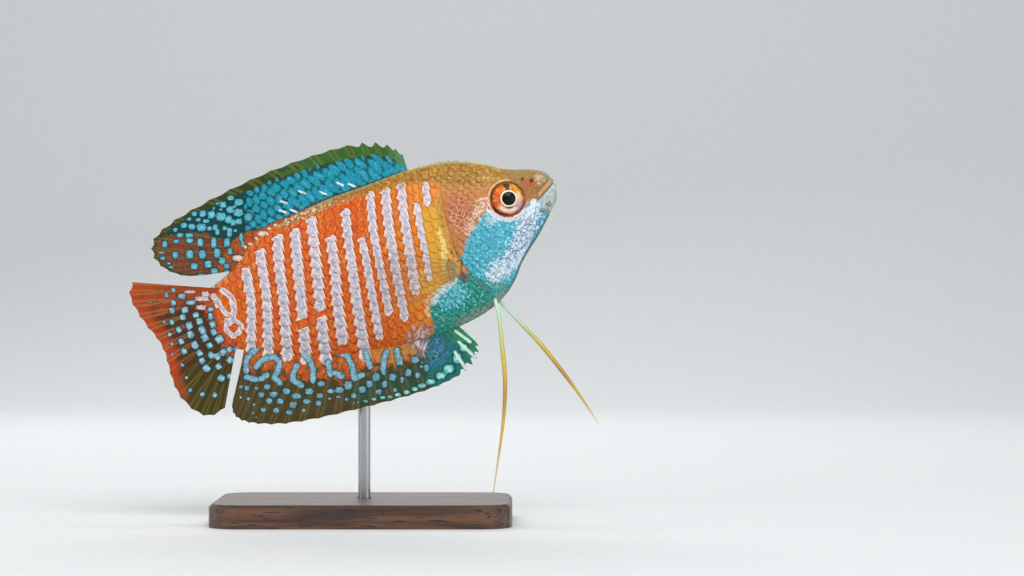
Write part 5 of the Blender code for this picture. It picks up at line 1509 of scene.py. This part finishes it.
# %% [markdown]
# ## Pectoral fins
# The pair on the flanks is clear as film with fine rays, and one sees the bars through it. A cast uses
# tinted clear plastic, so the finish is mostly see-through and only the rays hold colour.

# %% Pectoral fins
def surface_width(s, h):
    """Half the body's width at a place on its side."""
    middle = widest_at(s)
    share = np.where(h > middle, (h - middle) / (back(s) - middle), (middle - h) / (middle - belly(s)))
    power = np.where(h > middle, full_above(s), full_below(s))
    return half_width(s) * np.maximum(1 - np.clip(share, 0, 1) ** power, 0) ** (1 / power)


def clear_film():
    """Clear plastic film with amber rays, and more colour at its root."""
    material, shader, add = new_finish("clear_film_fin")
    ridge = add("Attribute", out="Fac", attribute_name="ridge")
    root = add("Attribute", out="Fac", attribute_name="share")
    root = add("MapRange", {0: root, 1: 0.16, 2: 0.0, 3: 0.0, 4: 0.35})
    held = add("Math", {0: ridge, 1: 0.16, 2: 0.04}, operation="MULTIPLY_ADD")
    held = add("Math", {0: held, 1: root}, operation="ADD")
    tint = lay(add, ink("#B99A62"), ink("#6E4C22"), ridge)
    plug(shader, {"Base Color": tint, "Alpha": held, "Roughness": 0.35, "IOR": 1.45})
    return material


def pectoral_root(fan):
    """The roots of the left fin's rays, down the fleshy root."""
    (s0, h0), (s1, h1) = PECTORAL_ROOT
    down = key_rays(PECTORAL_KEYS, fan)[:, 0]
    s, h = s0 + (s1 - s0) * down, h0 + (h1 - h0) * down
    return np.column_stack([s - 0.3, h, surface_width(s, h) + 0.25])


def pectoral_tip(fan):
    """The left fin's ray tips, held off the flank."""
    _, s, h, off = key_rays(PECTORAL_KEYS, fan).T
    return np.column_stack([s, h, surface_width(s, h) + off])


film = clear_film()
for side, word in SIDES:
    points, faces, marks = fin_mesh(lambda fan: pectoral_root(fan) * [1, 1, side],
                                    lambda fan: pectoral_tip(fan) * [1, 1, side], PECTORAL_RAYS, 36,
                                    lambda s, h, v: 0 * v, even_dip, 0.06, 0.15, (0, 0.35, 0.94), 0.45)
    make_piece(f"pectoral_fin_{word}_film", points, faces, marks, film, "clear_fin", f"pectoral_fin_{word}")

# %% [markdown]
# ## Feelers
# Each pelvic fin is a single long ray with which the fish feels its way. It is a round thread, mint near
# the body, then yellow with painted shade along the two sides that outline it from the side, and it is drawn
# out to a hair at its tip. A tube along a smooth route does it, with its width read from a few sizes.

# %% Feelers
FEELER_RIGHT = [(19.0, -16.2, -1.4), (19.4, -18.9, -2.0), (20.8, -24.3, -2.9), (22.6, -30.6, -3.4),
                (25.0, -36.4, -3.5), (28.0, -42.2, -3.2), (32.6, -50.4, -2.4)]
FEELER_LEFT = [(18.2, -16.2, 1.4), (16.0, -21.6, 2.8), (13.7, -27.2, 3.9), (11.5, -34.2, 5.0),
               (10.0, -39.7, 5.7), (8.6, -46.0, 6.3)]
FEELER_WIDTHS = [(0.0, 0.74), (0.15, 0.68), (0.45, 0.86), (0.75, 0.58), (1.0, 0.16)]
FEELER_TINTS = [(0.16, "#B7D9A4"), (0.27, "#CFC765"), (0.38, "#D2B43E"), (0.52, "#C48A3A"), (0.68, "#D8B83C"),
                (0.92, "#E9DC8E")]  # where along the thread each colour comes in, over mint


def feeler_finish():
    """Lacquered thread, coloured along its length, with painted shade on the two sides that outline it from
    the side.
    """
    material, shader, add = new_finish("lacquered_feeler")
    along = add("Attribute", out="Fac", attribute_name="along")
    colour = ink("#C6E4D0")
    for place, tint in FEELER_TINTS:
        share = add("MapRange", {0: along, 1: place - 0.08, 2: place + 0.08}, interpolation_type="SMOOTHSTEP")
        colour = lay(add, colour, ink(tint), share)
    # Painted shade: dark brown on the two sides that outline the thread from the side, none near its root.
    edge = add("Attribute", out="Fac", attribute_name="edge")
    edge = add("MapRange", {0: edge, 1: 0.72, 2: 1.0}, interpolation_type="SMOOTHSTEP")
    lower = add("MapRange", {0: along, 1: 0.12, 2: 0.25})
    dark = add("Math", {0: edge, 1: lower}, operation="MULTIPLY")
    plug(shader, {"Base Color": lay(add, colour, ink("#5E4312"), dark), "Roughness": 0.35, "IOR": 1.45,
                  "Coat Weight": 0.3})
    return material


def feeler_mesh(route, steps=180, sides=20):
    """A tube along a route, and its marks."""
    places = np.linspace(0, 1, steps)
    path = np.column_stack([smooth(list(enumerate(axis)))(places * (len(route) - 1)) for axis in zip(*route)])
    ahead = np.gradient(path, axis=0)
    ahead /= np.linalg.norm(ahead, axis=1, keepdims=True)
    path[0] -= ahead[0] * 0.8
    aside = np.cross(ahead, [0.0, 0.0, 1.0])
    aside /= np.linalg.norm(aside, axis=1, keepdims=True)
    other = np.cross(ahead, aside)
    turn = np.linspace(0, 2 * math.pi, sides, endpoint=False)
    radius = smooth(FEELER_WIDTHS)(places)[:, None, None] / 2
    ring = aside[:, None] * np.cos(turn)[:, None] + other[:, None] * np.sin(turn)[:, None]
    points = (path[:, None] + ring * radius).reshape(-1, 3)
    faces = tube_faces(steps, sides, True).tolist()
    faces += [tuple(range(sides))[::-1], tuple(range((steps - 1) * sides, steps * sides))]
    # edge is 1 on the two sides that outline the tube from the side, where the finish paints shade.
    marks = {"along": np.repeat(places, sides), "edge": np.tile(np.abs(np.cos(turn)), steps)}
    return points, faces, marks


thread = feeler_finish()
for route, word in ((FEELER_LEFT, "left"), (FEELER_RIGHT, "right")):
    points, faces, marks = feeler_mesh(route)
    make_piece(f"feeler_{word}_thread", points, faces, marks, thread, "feeler", f"feeler_{word}")

# %% [markdown]
# ## The stand
# The base is oiled walnut, sawn along the grain, and the rod is stainless steel brushed along its length.
# Both solids have the right shape, so they stay and only get their finish. Grain is a noise drawn out along
# the board, in lines about half a millimetre apart.

# %% Walnut and steel
def oiled_walnut():
    """Walnut: dark streaks along the board and fine open pores."""
    material, shader, add = new_finish("oiled_walnut")
    where = add("TexCoord", out="Object")
    long = add("Mapping", {"Vector": where, "Scale": (90, 900, 900)})
    figure = add("TexNoise", {"Vector": long, "Scale": 0.35, "Detail": 3.0, "Distortion": 1.2})
    line = add("TexNoise", {"Vector": long, "Scale": 2.6, "Detail": 5.0})
    figure = add("MapRange", {0: figure, 1: 0.35, 2: 0.68}, interpolation_type="SMOOTHSTEP")
    pores = add("MapRange", {0: line, 1: 0.36, 2: 0.44}, interpolation_type="SMOOTHSTEP")
    wood = lay(add, ink("#24150E"), lay(add, ink("#3A2418"), ink("#6B4630"), figure), pores)
    bump = add("Bump", {"Height": pores, "Distance": 0.05 * MM, "Strength": 0.6})
    plug(shader, {"Base Color": wood, "Normal": bump, "Roughness": 0.38, "Coat Weight": 0.25,
                  "Coat Roughness": 0.2})
    return material


def brushed_steel():
    """Stainless steel with fine lines along the rod."""
    material, shader, add = new_finish("brushed_stainless_steel")
    where = add("TexCoord", out="Object")
    long = add("Mapping", {"Vector": where, "Scale": (9000, 9000, 250)})
    line = add("TexNoise", {"Vector": long, "Scale": 1.0, "Detail": 2.0})
    rough = add("MapRange", {0: line, 1: 0.3, 2: 0.7, 3: 0.2, 4: 0.4})
    steel = lay(add, ink("#A9ABAF"), ink("#C9CBCE"), line)
    plug(shader, {"Base Color": steel, "Roughness": rough, "Metallic": 1.0})
    return material


for node_name, finish in (("stand_base", oiled_walnut()), ("stand_rod", brushed_steel())):
    solid = bpy.data.objects[node_name]
    if solid.material_slots:
        for material_slot in solid.material_slots:
            material_slot.material = finish
    else:
        solid.data.materials.append(finish)

print("walnut base and steel rod finished")

# %% [markdown]
# ## The paper
# A small model is photographed on a sweep of paper that curves up behind it, so that no edge shows. One strip
# of faces along a bent line makes it. It is a stage, and no part of the model.

# %% Paper sweep
def paper():
    """Matt pale paper with a faint tooth."""
    material, shader, add = new_finish("matt_paper")
    tooth = add("TexNoise", {"Vector": add("TexCoord", out="Object"), "Scale": 400.0})
    plug(shader, {"Base Color": lay(add, ink("#DADCDD"), ink("#E2E4E4"), tooth), "Roughness": 0.9})
    return material


SWEEP_START, SWEEP_ROUND, SWEEP_HALF = 0.5, 0.35, 1.5  # metres: where it curves up, how round, how wide
profile = [(-0.9, 0.0), (SWEEP_START, 0.0)]
for a in np.linspace(0, math.pi / 2, 14)[1:]:
    profile.append((SWEEP_START + SWEEP_ROUND * math.sin(a), SWEEP_ROUND - SWEEP_ROUND * math.cos(a)))
profile.append((SWEEP_START + SWEEP_ROUND, 1.6))
sweep = bpy.data.meshes.new("paper_sweep")
sweep.from_pydata([(x, y, z) for y, z in profile for x in (-SWEEP_HALF, SWEEP_HALF)], [],
                  [(2 * i, 2 * i + 1, 2 * i + 3, 2 * i + 2) for i in range(len(profile) - 1)])
sweep.shade_smooth()
sweep.materials.append(paper())
floor = bpy.data.objects.new("paper_sweep", sweep)
bpy.context.scene.collection.objects.link(floor)
floor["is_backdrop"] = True
print("paper sweep", 2 * SWEEP_HALF, "m wide laid")

# %% [markdown]
# The dressed fish must keep the size of the solids. Both boxes are printed, where they can be compared.

# %% Sizes and the end
visual_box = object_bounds()
boxes = {name: [[float(v) for v in corner] for corner in box] for name, box in
         (("cad", cad_box), ("visual", visual_box))}
for name, box in boxes.items():
    print(name, "box in mm:", [[round(v / MM, 1) for v in corner] for corner in box])
